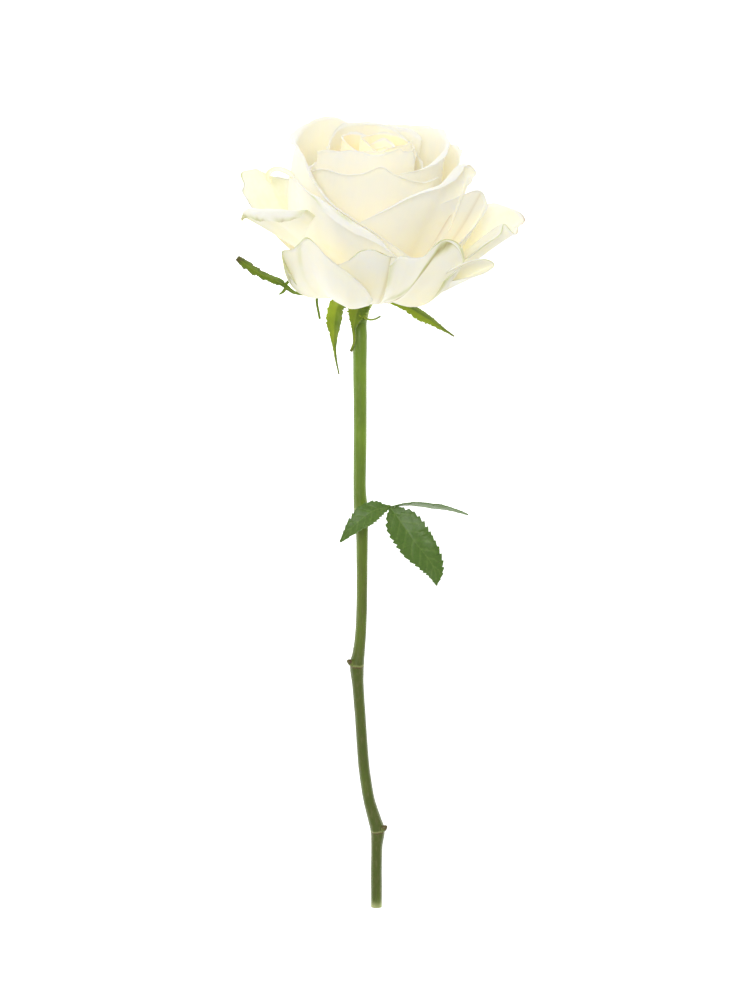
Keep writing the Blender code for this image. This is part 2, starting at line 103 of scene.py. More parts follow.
def along(points: list[Vector], t: float) -> Vector:
    """Find a point on the smooth (Catmull-Rom) curve through some points.

    Args:
        points: the vectors that the curve goes through.
        t: how far along, 0 to 1.

    Returns:
        The point of the curve.
    """
    span = t * (len(points) - 1)
    i = min(int(span), len(points) - 2)
    f = span - i
    p1, p2 = points[i], points[i + 1]
    p0 = points[i - 1] if i > 0 else p1 + (p1 - p2)
    p3 = points[i + 2] if i + 2 < len(points) else p2 + (p2 - p1)
    return 0.5 * (2 * p1 + (p2 - p0) * f + (2 * p0 - 5 * p1 + 4 * p2 - p3) * f * f
                  + (3 * p1 - p0 - 3 * p2 + p3) * f**3)


def fill(tree: bpy.types.NodeTree, node: bpy.types.Node, inputs: dict) -> None:
    """Give a node's sockets their values and links.

    Args:
        tree: the node tree.
        node: the node.
        inputs: socket name or number to its value, or to the output or the node that it is linked to.
    """
    for socket, value in inputs.items():
        if isinstance(value, bpy.types.Node):
            value = value.outputs[0]
        if isinstance(value, bpy.types.NodeSocket):
            tree.links.new(value, node.inputs[socket])
        else:
            node.inputs[socket].default_value = value


def add_node(tree: bpy.types.NodeTree, kind: str, inputs: dict | None = None,
             **settings: object) -> bpy.types.Node:
    """Add a shader node with its settings, values and links.

    Args:
        tree: the material's node tree.
        kind: the node's class name.
        inputs: what fill() gives its sockets.
        **settings: the node's own properties.

    Returns:
        The new node.
    """
    made = tree.nodes.new(kind)
    for name, value in settings.items():
        setattr(made, name, value)
    fill(tree, made, inputs or {})
    return made


def select_only(*pieces: bpy.types.Object) -> None:
    """Select these objects alone and make the first one active.

    Args:
        *pieces: the objects.
    """
    bpy.ops.object.select_all(action="DESELECT")
    for piece in pieces:
        piece.select_set(True)
    bpy.context.view_layer.objects.active = pieces[0]


def bloom_matrix(base: Vector, rise: float, lean: float) -> Matrix:
    """Give the place of the bloom: x to its right, z along its axis, y away from its upper side.

    Args:
        base: where the petals meet the receptacle.
        rise: how far the axis points up from the table.
        lean: how far it leans to the right, seen from above.

    Returns:
        The matrix from the bloom's own millimetres to those of the whole rose.
    """
    rise, lean = math.radians(rise), math.radians(lean)
    axis = Vector((math.sin(lean) * math.cos(rise), math.cos(lean) * math.cos(rise), math.sin(rise)))
    right = Vector((math.cos(lean), -math.sin(lean), 0.0))
    rows = Matrix((right, axis.cross(right), axis)).transposed()
    return Matrix.Translation(base) @ rows.to_4x4()


BLOOM = bloom_matrix(Vector((-6.0, 252.0, 41.0)), 18.0, 8.0)


def tint_mesh(mesh: bpy.types.Mesh, tones: list[Triple]) -> None:
    """Give each vertex its tints, as an attribute that the materials read.

    Args:
        mesh: the mesh.
        tones: the three tints of each vertex, in their order.
    """
    tints = mesh.attributes.new("tint", "FLOAT_VECTOR", "POINT")
    tints.data.foreach_set("vector", [value for tone in tones for value in tone])


def sheet_of(name: str, grid: tuple[int, int], place: Place, tone: Tone,
             size: tuple[float, float]) -> bpy.types.Object:
    """Make a curved sheet from a grid, with its own map in millimetres and an attribute of tints.

    Args:
        name: the object's name.
        grid: faces across and along.
        place: function of u, -1 to 1 across, and v, 0 to 1 along, that gives the point.
        tone: function of u and v that gives the three tints of the material.
        size: width and length in millimetres that the map covers.

    Returns:
        The new object, still without thickness.
    """
    bpy.ops.mesh.primitive_grid_add(x_subdivisions=grid[0], y_subdivisions=grid[1], size=2.0, calc_uvs=True)
    made = bpy.context.view_layer.objects.active
    made.name = made.data.name = name
    mesh = made.data
    steps = [(vertex.co.x, (vertex.co.y + 1.0) / 2.0) for vertex in mesh.vertices]
    tint_mesh(mesh, [tone(u, v) for u, v in steps])
    corners = [steps[loop.vertex_index] for loop in mesh.loops]
    mesh.uv_layers.active.name = "blade"
    mesh.uv_layers.active.data.foreach_set(
        "uv", [value for u, v in corners for value in (u * size[0] / 2.0, v * size[1])])
    mesh.vertices.foreach_set("co", [value for u, v in steps for value in (place(u, v) + SHIFT) * MM])
    mesh.update()
    return made


def thicken(piece: bpy.types.Object, thickness: float, second: int = 0) -> None:
    """Give a sheet its thickness, half to each side, and closed edges.

    Args:
        piece: the sheet.
        thickness: in millimetres.
        second: how many material slots further on the lower face's material is.
    """
    shell = piece.modifiers.new("thickness", "SOLIDIFY")
    shell.thickness = thickness * MM
    shell.offset = 0.0
    shell.material_offset = second
    shell.use_quality_normals = True
    select_only(piece)
    bpy.ops.object.modifier_apply(modifier=shell.name)


def tube(name: str, grid: tuple[int, int], course: list[Vector], radius: Callable[[float, float], float],
         tone: Tone, size: tuple[float, float], look: float) -> bpy.types.Object:
    """Model a closed tube along a course, as a sheet whose long edges meet and whose ends are filled.

    Args:
        name: the object's name.
        grid: faces round and along.
        course: points of the middle line.
        radius: function of u, -1 to 1 round, and v, 0 to 1 along, that gives the radius.
        tone: function of u and v that gives the three tints of the material.
        size: width and length in millimetres that the map covers.
        look: how far ahead and behind the course's direction is taken, as a share of its length.

    Returns:
        The closed tube.
    """

    def place(u: float, v: float) -> Vector:
        """Find a point of the tube's wall.

        Args:
            u: round, -1 to 1.
            v: along, 0 to 1.

        Returns:
            The point, in millimetres from the cut end of the stem.
        """
        ahead = (along(course, min(1.0, v + look)) - along(course, max(0.0, v - look))).normalized()
        side = ahead.cross(Vector((0.0, 0.0, 1.0))).normalized()
        turn = math.pi * u
        return along(course, v) + radius(u, v) * (math.sin(turn) * side - math.cos(turn) * side.cross(ahead))

    made = sheet_of(name, grid, place, tone, size)
    select_only(made)
    bpy.ops.object.mode_set(mode="EDIT")
    bpy.ops.mesh.select_all(action="SELECT")
    bpy.ops.mesh.remove_doubles(threshold=0.001 * MM)
    bpy.ops.mesh.select_mode(type="EDGE")
    bpy.ops.mesh.select_all(action="DESELECT")
    bpy.ops.mesh.select_non_manifold()
    bpy.ops.mesh.fill_holes(sides=0)
    bpy.ops.mesh.select_all(action="SELECT")
    bpy.ops.mesh.normals_make_consistent(inside=False)
    bpy.ops.object.mode_set(mode="OBJECT")
    return made


def turned(name: str, profile: tuple[Triple, ...], tint: Triple) -> bpy.types.Object:
    """Model a round body on the bloom's axis: a circle that is extruded, moved and resized ring by ring.

    Args:
        name: the object's name.
        profile: radius, height and shift to the right of each ring.
        tint: the three tints of the material.

    Returns:
        The closed body.
    """
    radius, height, aside = profile[0]
    bpy.ops.mesh.primitive_circle_add(vertices=40, radius=radius, fill_type="NGON")
    made = bpy.context.view_layer.objects.active
    made.name = name
    bpy.ops.object.mode_set(mode="EDIT")
    bpy.ops.mesh.select_all(action="SELECT")
    bpy.ops.transform.translate(value=(aside, 0.0, height))
    for wide, high, right in profile[1:]:
        step = (right - aside, 0.0, high - height)
        bpy.ops.mesh.extrude_region_move(TRANSFORM_OT_translate={"value": step})
        bpy.ops.transform.resize(value=(wide / radius, wide / radius, 1.0))
        radius, height, aside = wide, high, right
    bpy.ops.mesh.select_all(action="SELECT")
    bpy.ops.mesh.normals_make_consistent(inside=False)
    bpy.ops.object.mode_set(mode="OBJECT")
    made.data.transform(Matrix.Scale(MM, 4) @ Matrix.Translation(SHIFT) @ BLOOM)
    tint_mesh(made.data, [tint] * len(made.data.vertices))
    return made


def finished(pieces: list[bpy.types.Object], name: str, part: Part,
             *skins: bpy.types.Material) -> bpy.types.Object:
    """Join and dress the pieces, and hide the node of the frame that they replace.

    Args:
        pieces: the modelled pieces.
        name: the finished piece's name.
        part: what it replaces.
        *skins: the materials, in the order of its slots.

    Returns:
        The finished piece.
    """
    for piece in pieces:
        for skin in skins:
            piece.data.materials.append(skin)
    select_only(*pieces)
    if len(pieces) > 1:
        bpy.ops.object.join()
    made = bpy.context.view_layer.objects.active
    made.name = made.data.name = name
    bpy.ops.object.shade_smooth_by_angle(angle=math.radians(60))
    node, slot = part.value
    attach(made, "root")
    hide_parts(node)
    return made


# ---- finishes ----
def new_skin(name: str) -> tuple[bpy.types.Material, bpy.types.Node, bpy.types.Node]:
    """Start a material that reads the tints of the mesh and the place on the rose.

    Args:
        name: the real material's name.

    Returns:
        The material, the node that parts the three tints, and the one that gives Object coordinates.
    """
    made = bpy.data.materials.new(name)
    made.use_nodes = True
    tree = made.node_tree
    tint = add_node(tree, "ShaderNodeAttribute", attribute_name="tint")
    parts = add_node(tree, "ShaderNodeSeparateXYZ", {0: tint.outputs["Vector"]})
    return made, parts, add_node(tree, "ShaderNodeTexCoord")


@dataclass(frozen=True)
class PetalFinish:
    """White rose petal: a thin, velvety, translucent skin, cool white at its rim and cream towards its claw.

    Light goes through the blade and comes back warm from between the petals; this is painted in, as a glow
    that the skin gives off and as cream painted deeper in the bloom. The tints: x is how deep in the bloom
    it is, which sets the cream, partly the petal's own colour and partly painted warm shade, and the painted
    glow; y is how green and z how bruised.
    """

    rim: str = "#eeefe9"
    # body and throat are the cream deeper in the bloom, partly the petal's own colour and partly painted
    # warm shade
    body: str = "#f2ecd7"
    throat: str = "#efd48c"
    green: str = "#a9b75c"
    bruise: str = "#8f6a35"
    glow: float = 0.24  # strength in the throat of the painted glow, an emission for the light that many layers pass on
    rim_glow: float = 0.4  # the rim's share of it
    vein_pitch: float = 1.4  # millimetres between the fine veins, twice life size so that they show
    cell_size: float = 0.5  # the skin's cells, drawn far larger than life so that they show as a soft grain
    cloud_scale: float = 90.0  # soft patches about 11 mm across
    bump_height: float = 0.1  # millimetres

    def material(self) -> bpy.types.Material:
        """Build the material.

        Returns:
            The petal skin.
        """
        made, parts, coords = new_skin("white rose petal skin")
        tree = made.node_tree
        place = coords.outputs["Object"]
        blade = add_node(tree, "ShaderNodeUVMap", uv_map="blade")
        drawn = add_node(tree, "ShaderNodeMapping", {0: blade, 3: (1.0 / self.vein_pitch, 0.03, 1.0)})
        veins = add_node(tree, "ShaderNodeTexNoise", {
            "Vector": drawn, "Scale": 1.0, "Detail": 3.0, "Roughness": 0.55, "Distortion": 0.25})
        cloud = add_node(tree, "ShaderNodeTexNoise", {
            "Vector": place, "Scale": self.cloud_scale, "Detail": 4.0, "Roughness": 0.6})
        cells = add_node(tree, "ShaderNodeTexNoise", {
            "Vector": place, "Scale": 1.0 / (self.cell_size * MM), "Detail": 2.0})
        # Each row is what goes in, the range that is taken of it and the range that it becomes.
        uneven, patches, speckle, streaks, satin = [
            add_node(tree, "ShaderNodeMapRange", dict(enumerate(ends))) for ends in (
                (cloud, 0.3, 0.7, -0.12, 0.12), (cloud, 0.35, 0.65, 0.45, 1.0), (veins, 0.35, 0.6, 0.3, 1.0),
                (veins, 0.3, 0.7, 0.985, 1.0), (cloud, 0.3, 0.7, 0.46, 0.6))]
        depth, greened, bruised = [
            add_node(tree, "ShaderNodeMath", {0: parts.outputs[i], 1: other}, operation=how, use_clamp=True)
            for i, other, how in ((0, uneven, "ADD"), (1, patches, "MULTIPLY"), (2, speckle, "MULTIPLY"))]
        # The glow is painted light: an emission for what many layers pass on from outside, further than the
        # bounces of light reach.
        low, high, glow = [
            add_node(tree, "ShaderNodeMapRange", dict(enumerate(ends))) for ends in (
                (depth, 0.0, 0.5), (depth, 0.45, 1.0),
                (depth, 0.05, 0.8, self.rim_glow * self.glow, self.glow))]
        # From rim to body to throat: cream deeper in the bloom, partly the petal's own colour and partly
        # painted warm shade.
        colour = linear(self.rim)
        for share, tint in ((low, self.body), (high, self.throat), (greened, self.green),
                            (bruised, self.bruise)):
            layer = add_node(tree, "ShaderNodeMix", {0: share, 6: colour, 7: linear(tint)}, data_type="RGBA")
            colour = layer.outputs[2]
        skin = add_node(tree, "ShaderNodeMix", {0: 1.0, 6: colour, 7: streaks}, data_type="RGBA",
                        blend_type="MULTIPLY")
        height = add_node(tree, "ShaderNodeMath", {0: cells, 1: 0.25, 2: veins}, operation="MULTIPLY_ADD")
        bump = add_node(tree, "ShaderNodeBump", {
            "Strength": 0.25, "Distance": self.bump_height * MM, "Height": height})
        # The emission is a painted glow of warm cream, strongest in the throat and weaker towards the rim.
        fill(tree, tree.nodes["Principled BSDF"], {
            "Base Color": skin.outputs[2], "Emission Strength": glow, "Roughness": satin, "Normal": bump,
            "Emission Color": linear("#fcf0ce"), "IOR": 1.4, "Specular IOR Level": 0.35,
            "Subsurface Weight": 0.6, "Subsurface Radius": (1.0, 0.85, 0.5), "Subsurface Scale": 0.8 * MM,
            "Sheen Weight": 0.1})
        return made


@dataclass(frozen=True)
class GreenFinish:
    """Skin of a green part: a waxy layer over leaf tissue, darker between its veins.

    The tints: x is how pale (a vein, a painted lit shoulder or a scar), y how yellow, partly the part's own
    and partly painted light that is stronger on a blade's lit side, and z how brown and dry.
    """

    name: str
    base: str
    pale: str
    yellow: str
    brown: str = "#5b3a22"
    roughness: float = 0.42
    grain: float = 1.2  # millimetres of the mottling
    stretch: Triple = (1.0, 1.0, 1.0)
    bump: float = 0.35
    bump_height: float = 0.15  # millimetres
    coat: float = 0.15
    flow: float = 0.3  # share of subsurface light

    def material(self) -> bpy.types.Material:
        """Build the material.

        Returns:
            The green skin.
        """
        made, parts, coords = new_skin(self.name)
        tree = made.node_tree
        scale = 1.0 / (self.grain * MM)
        drawn = add_node(tree, "ShaderNodeMapping", {0: coords.outputs["Object"], 3: self.stretch})
        mottle = add_node(tree, "ShaderNodeTexNoise", {
            "Vector": drawn, "Scale": scale, "Detail": 5.0, "Roughness": 0.6})
        large = add_node(tree, "ShaderNodeTexNoise", {"Vector": drawn, "Scale": 0.15 * scale, "Detail": 2.0})
        cells = add_node(tree, "ShaderNodeTexVoronoi", {"Vector": drawn, "Scale": 1.6 * scale})
        # Each row is what goes in, the range that is taken of it and the range that it becomes.
        patch, broad, speckle, satin = [
            add_node(tree, "ShaderNodeMapRange", dict(enumerate(ends))) for ends in (
                (mottle, 0.3, 0.7, -0.14, 0.14), (large, 0.35, 0.65, -0.15, 0.15),
                (mottle, 0.35, 0.6, 0.5, 1.0),
                (mottle, 0.3, 0.7, self.roughness - 0.06, self.roughness + 0.08))]
        # The yellow share is the part's own yellow and, on a blade, painted light on its lit side.
        lift, yellow_and_painted_light, dried = [
            add_node(tree, "ShaderNodeMath", {0: parts.outputs[i], 1: other}, operation=how, use_clamp=True)
            for i, other, how in ((0, patch, "ADD"), (1, broad, "ADD"), (2, speckle, "MULTIPLY"))]
        colour = linear(self.base)
        for share, tint in ((lift, self.pale), (yellow_and_painted_light, self.yellow), (dried, self.brown)):
            layer = add_node(tree, "ShaderNodeMix", {0: share, 6: colour, 7: linear(tint)}, data_type="RGBA")
            colour = layer.outputs[2]
        height = add_node(tree, "ShaderNodeMath", {0: cells, 1: 0.6, 2: mottle}, operation="MULTIPLY_ADD")
        bump = add_node(tree, "ShaderNodeBump", {
            "Strength": self.bump, "Distance": self.bump_height * MM, "Height": height})
        fill(tree, tree.nodes["Principled BSDF"], {
            "Base Color": colour, "Roughness": satin, "Normal": bump, "IOR": 1.42, "Coat Weight": self.coat,
            "Coat Roughness": 0.35, "Subsurface Weight": self.flow, "Subsurface Radius": (0.6, 1.0, 0.3),
            "Subsurface Scale": 0.8 * MM})
        return made


# ---- petals ----
@dataclass(frozen=True)
class Spot:
    """A place on a petal that is pushed in or out or tinted. Its place and widths are in u and v."""

    u: float
    v: float
    wide: float
    long: float
    green: float = 0.0
    brown: float = 0.0
    slant: float = 0.0
    push: float = 0.0  # millimetres outwards

    def near(self, u: float, v: float) -> float:
        """Return 1 in the spot's middle, falling to 0 outside it."""
        return hump(u - self.u - self.slant * (v - self.v), 0.0, self.wide) * hump(v, self.v, self.long)


def round_axis(angle: float, radius: float, height: float) -> Vector:
    """Return the place at an angle in degrees round the bloom's axis, in the bloom's own millimetres."""
    return Vector((radius * math.cos(math.radians(angle)), radius * math.sin(math.radians(angle)), height))


def fan(azimuth: float, spread: float, left: Rim, middle: Rim, right: Rim,
        peak: Triple = (0.0, 0.0, 0.15)) -> tuple[Station, ...]:
    """Lay a simple rim: even steps of angle through three places, with one pointed tip.

    Args:
        azimuth: the middle's angle round the bloom's axis, 0 at its right and -90 on its upper side.
        spread: from the middle to either end.
        left: the rim at the left end, seen from outside.
        middle: the rim in the middle.
        right: the rim at the right end.
        peak: height, place and width of the tip.

    Returns:
        The rim's stations.
    """
    stations = []
    for step in range(9):
        u = step / 4.0 - 1.0
        values = [m + (r - l) / 2 * u + ((r + l) / 2 - m) * u * u for l, m, r in zip(left, middle, right)]
        values[1] += peak[0] * hump(u, peak[1], peak[2])
        stations.append((azimuth + u * spread, *values))
    return tuple(stations)


@dataclass(frozen=True)
class Petal:
    """One petal, as a blade from its claw to a rim that runs through stations from left to right.

    azimuth and spread are the middle and half the width of the blade's lower part round the bloom's axis.
    leave and arrive are the blade's slopes at its claw and its rim. The rim's radius and height are those of
    its highest line, where the lip turns over.
    """

    azimuth: float
    spread: float
    rim: tuple[Station, ...]
    leave: float
    arrive: float
    wave: float = 0.5  # millimetres that the free part waves in and out
    waves: float = 2.0  # across it
    claw: tuple[float, float] = (6.5, 0.4)  # its radius and height
    root: float = 0.0  # share of the blade that is left off at its claw
    shoulder: float = 0.14  # how much shorter the blade is at its sides
    frill: float = 0.5  # millimetres of irregular ruffles near the rim
    frills: float = 2.2  # in a centimetre
    nick: float = 0.02  # share of the length that the rim's nicks take off
    sag: float = 0.5  # millimetres of soft dents
    # How deep the claw is sets the cream towards it, partly painted warm shade, and the painted glow.
    depth: float = 0.6  # how deep in the bloom the claw is, 0 to 1
    rim_green: float = 0.0
    body_green: float = 0.0
    rim_brown: float = 0.0
    spots: tuple[Spot, ...] = ()
    seed: int = 0
    fullness: float = 0.44  # how far the profile follows its slopes at the claw and the rim
    lip_share: float = 3 / 7  # of the blade's length
    low_rim: float = 16.0  # a rim below this height makes a drooping blade flatter
    table: float = 0.4  # the lowest that a blade's middle lies

    def rough(self, u: float, v: float, scale: float, salt: float) -> float:
        """Return soft noise that goes with this petal, about -0.5 to 0.5."""
        turn = math.radians(self.spread) * self.rim[0][1] / 10.0
        return noise.noise(Vector((u * turn * scale + 13.7 * self.seed, v * 1.6 * scale, salt)))

    def station(self, u: float) -> Vector:
        """Return the rim's angle, radius, height, lip and roll at u, on a smooth curve."""
        return along([Vector(s) for s in self.rim], (u + 1.0) / 2.0)

    def profile(self, v: float, rim_radius: float, rim_height: float, lip: float, roll: float) -> Vector:
        """Find a point of the blade's profile, a curve from the claw that ends in a rolled lip.

        Args:
            v: along the profile, 0 to 1.
            rim_radius: the rim's radius.
            rim_height: the rim's height.
            lip: the lip's radius.
            roll: how far the lip is rolled, in radians.

        Returns:
            The point's radius and height.
        """
        droop = min(1.0, max(0.0, rim_height / self.low_rim)) if self.leave < 0.0 else 1.0
        leave, arrive = math.radians(self.leave * droop), math.radians(self.arrive * droop)
        out = Vector((math.cos(leave), math.sin(leave)))
        up = Vector((math.cos(arrive), math.sin(arrive)))
        outward = Vector((up.y, -up.x))
        top = min(roll, arrive)
        claw = Vector(self.claw)
        rim = Vector((rim_radius, rim_height)) - lip * (math.sin(top) * up + (1.0 - math.cos(top)) * outward)
        reach = self.fullness * (rim - claw).length
        body = min(1.0, v / (1.0 - self.lip_share))
        rest = 1.0 - body
        curve = rest**3 * claw + 3 * rest * rest * body * (claw + reach * out)
        curve += 3 * rest * body * body * (rim - reach * up) + body**3 * rim
        turn = roll * max(0.0, v - 1.0 + self.lip_share) / self.lip_share
        return curve + lip * (math.sin(turn) * up + (1.0 - math.cos(turn)) * outward)

    def point(self, u: float, v: float) -> Vector:
        """Find a point of the blade.

        Args:
            u: across the petal, -1 to 1.
            v: along it, 0 at the claw to 1 at the rim's end.

        Returns:
            The point, in millimetres from the cut end of the stem.
        """
        nicks = self.rough(u, 0.0, 3.0, SALT_NICK) + 0.6 * self.rough(u, 0.0, 9.0, SALT_FINE)
        v = (self.root + (1.0 - self.root) * v) * (1.0 - self.shoulder * abs(u) ** 6)
        v *= 1.0 - self.nick * (0.5 + nicks)
        rim_angle, rim_radius, rim_height, lip, roll = self.station(u)
        profile = self.profile(v, rim_radius, rim_height, lip, math.radians(max(5.0, roll)))
        free = smooth(2.0 * v - 1.0)
        ripple = self.wave * math.sin(self.waves * math.pi * u) * free
        ripple += 2.0 * self.frill * self.rough(u, v, self.frills, SALT_FRILL) * free * free
        push = 2.0 * self.sag * smooth((v - 0.1) / 0.4) * (1.0 - 0.6 * free)
        push *= self.rough(u, v, 0.9, SALT_SAG)
        push += sum(spot.push * spot.near(u, v) for spot in self.spots if spot.push)
        radius, height = profile.x + ripple + push, profile.y + 0.7 * ripple
        angle = self.azimuth + u * self.spread
        angle += (rim_angle - angle) * min(1.0, v / (1.0 - self.lip_share))
        point = BLOOM @ round_axis(angle, radius, height)
        point.z = max(point.z, self.table)
        return point

    def tone(self, u: float, v: float) -> Triple:
        """Find the petal's tints.

        Args:
            u: across the petal, -1 to 1.
            v: along it, 0 to 1.

        Returns:
            How deep in the bloom, how green and how bruised it is there.
        """
        side = smooth((abs(u) - 0.8) / 0.2)
        rim = max(smooth((v - 0.84) / 0.16), 0.8 * side * smooth((v - 0.35) / 0.3))
        # Cream towards the claw, deeper in the bloom, is partly the petal's own and partly painted warm
        # shade; it also sets the painted glow.
        deep = self.depth * (1.0 - smooth((v - 0.15) / 0.65))
        green = self.rim_green * rim * (0.7 + 1.2 * self.rough(u, v, 2.0, SALT_GREEN))
        green += self.body_green * (1.0 - v)
        brown = self.rim_brown * max(0.0, rim * (0.2 + 1.8 * self.rough(u, v, 3.5, SALT_BROWN)))
        for spot in self.spots:
            green += spot.green * spot.near(u, v)
            brown += spot.brown * spot.near(u, v)
        return max(0.0, deep), min(1.0, max(0.0, green)), min(1.0, max(0.0, brown))

    def blade(self, name: str, grid: tuple[int, int], thickness: float) -> bpy.types.Object:
        """Model the petal.

        Args:
            name: the object's name.
            grid: faces across and along.
            thickness: of the blade, in millimetres.

        Returns:
            The thin closed blade.
        """
        across = [self.point(i / 6 - 1, 0.7) for i in range(13)]
        along_it = [self.point(0, i / 12) for i in range(13)]
        width, length = [sum((b - a).length for a, b in zip(row, row[1:])) for row in (across, along_it)]
        made = sheet_of(name, grid, self.point, self.tone, (width, length))
        thicken(made, thickness)
        return made


def simple(azimuth: float, spread: float, left: Rim, middle: Rim, right: Rim, leave: float, arrive: float,
           peak: Triple = (0.0, 0.0, 0.15), **more: float) -> Petal:
    """Return a petal whose rim is a simple fan."""
    return Petal(azimuth, spread, fan(azimuth, spread, left, middle, right, peak), leave, arrive, **more)


def inner_petals() -> list[Petal]:
    """List the whorls that close over the heart.

    Returns:
        The petals, from the inside out.
    """
    front = (
        (-166, 25.5, 54, 1.2, 70), (-152, 23, 56, 1.2, 65), (-136, 21, 57.2, 1.2, 60),
        (-126, 20.3, 58.6, 1.2, 60), (-116, 20, 59.2, 1.2, 60), (-104, 19.7, 58.9, 1.2, 60),
        (-95, 19.3, 58.5, 1.2, 55), (-86, 19, 59.3, 1.2, 55), (-76, 19, 60.6, 1.2, 50),
        (-67, 19, 62.2, 1.2, 50), (-60, 19, 61, 1, 50), (-48, 19, 61, 1, 50), (-40, 19, 57.5, 1, 40))
    right = (
        (-18, 18.5, 52.5, 1, 60), (0, 17, 54.5, 1.2, 60), (20, 16.5, 56, 1.2, 60), (40, 17, 56.6, 1.3, 60),
        (60, 18.5, 58.7, 1.3, 60), (76, 20.5, 60.5, 1.3, 60), (90, 22, 61, 1.2, 50))
    cup = (
        (-168, 27.5, 43.5, 1.2, 90), (-155, 27, 47, 1.5, 110), (-142, 26.5, 49.5, 1.6, 110),
        (-128, 26, 50, 1.6, 110), (-114, 26, 50.5, 1.6, 110), (-100, 26, 52.5, 1.4, 105),
        (-87, 26, 55.5, 1.3, 95), (-75, 26.5, 53.5, 1.4, 90), (-62, 27.5, 51.5, 1.7, 105),
        (-49, 28.5, 51, 1.8, 110), (-36, 29.5, 52.5, 1.8, 110))
    return [
        simple(-62, 66, (12, 57, 1, 40), (12.5, 59, 1, 50), (12, 58, 1, 40), 60, 93, root=0.4),
        simple(66, 68, (12, 58, 1, 40), (13, 61, 1, 50), (12, 59, 1, 40), 60, 93, root=0.4),
        simple(178, 62, (14, 59, 1, 40), (15.5, 60, 1, 50), (14, 57, 1, 40), 60, 93, root=0.4),
        Petal(-101, 46, front, 45, 92, wave=0.2, shoulder=0.05, nick=0.03),
        simple(16, 62, (15, 56, 1.2, 50), (14.5, 57.5, 1.2, 60), (15.5, 58.5, 1.2, 50), 45, 92),
        simple(128, 58, (19, 61, 1.4, 50), (20, 63, 1.6, 70), (21, 57, 1.4, 50), 45, 92),
        Petal(-102, 52, cup, 25, 90, wave=0.2, shoulder=0.05),
        Petal(36, 50, right, 25, 92, wave=0.2, shoulder=0.05),
        simple(98, 50, (24, 60, 1.6, 80), (25, 61.5, 2, 90), (26, 52, 1.6, 80), 25, 90),
        simple(170, 54, (27, 48, 1.6, 80), (27.5, 46, 2, 90), (28, 42, 1.6, 80), 25, 90),
    ]


def middle_petals() -> list[Petal]:
    """List the large petals of the bloom's outline.

    Returns:
        The left one that wraps the bloom, two at the right, one behind and the front one.
    """
    wrap = (
        (112, 34, 59, 1.4, 60), (128, 34.5, 61.8, 1.6, 70), (146, 35, 61, 1.9, 80),
        (156, 35, 58.6, 2.7, 105), (168, 34.4, 56.4, 3.5, 130), (181, 33.2, 55.8, 3.6, 135),
        (193, 32.2, 54.8, 2.5, 120), (204, 32.3, 53.2, 2.1, 110), (214, 32.8, 50.2, 2.1, 110),
        (223, 33.2, 46.6, 2, 110), (234, 34, 42.6, 1.9, 110), (246, 35.5, 39.2, 1.8, 110),
        (258, 37, 36.7, 1.7, 110), (272, 38.5, 33, 1.6, 110), (287, 40, 28, 1.4, 100),
        (297, 41, 24, 1.2, 90))
    right = (
        (-66, 23.4, 53, 1, 90), (-50, 24.8, 54.6, 1.5, 105), (-34, 26.2, 57.4, 2.1, 115),
        (-18, 27.1, 60.9, 2.3, 115), (0, 26.9, 62.9, 1.9, 100), (16, 26.2, 64.4, 1.6, 80),
        (30, 26.5, 65.2, 1.5, 70), (44, 28, 64.8, 1.5, 60), (58, 30.5, 63.4, 1.5, 60),
        (74, 33, 61.8, 1.5, 60), (88, 33, 61, 1.5, 60))
    far_right = (
        (-72, 31, 34, 1.2, 60), (-58, 31.5, 40, 1.2, 60), (-42, 32, 46, 1.2, 60),
        (-26, 32.5, 51.5, 1.2, 60), (-12, 32.5, 56.5, 1.4, 60), (0, 32, 59, 1.6, 70),
        (12, 32, 60.4, 1.7, 75), (24, 32.3, 60.2, 1.6, 70), (40, 34, 59, 1.4, 60), (56, 36, 58, 1.4, 60))
    front = (
        (-104, 33.5, 30, 1, 90), (-95, 34.5, 35, 1, 90), (-87, 35, 38.7, 1.1, 100),
        (-79, 36, 42.2, 1.2, 110), (-71, 37, 46, 1.3, 120), (-63, 37.8, 49, 1.5, 120),
        (-55, 38.2, 51, 1.9, 120), (-48, 38.2, 52.2, 2.5, 118), (-42, 38.3, 54.5, 3.4, 112),
        (-37, 39.3, 58, 4.2, 105), (-33, 40.5, 60.5, 4.6, 98), (-29, 42, 59.5, 4.6, 92),
        (-27, 43, 56.5, 4.2, 85), (-29, 42.5, 53, 3, 70))
    return [
        Petal(204, 92, wrap, 12, 88, wave=0.1, shoulder=0.03, frill=0.4, nick=0.04, depth=0.5,
              spots=(Spot(-0.26, 0.45, 0.3, 0.32, push=4.6),)),
        Petal(11, 78, right, 12, 88, wave=0.2, shoulder=0.05, frill=0.6, nick=0.05, depth=0.4),
        Petal(-8, 64, far_right, 8, 86, wave=0.3, shoulder=0.05, nick=0.03),
        simple(84, 46, (36, 58, 1.8, 70), (37, 59, 2.2, 90), (36, 58, 1.8, 70), 8, 84),
        Petal(-71, 35, front, 8, 80, wave=0.1, shoulder=0.02, frill=0.6, nick=0.04),
    ]


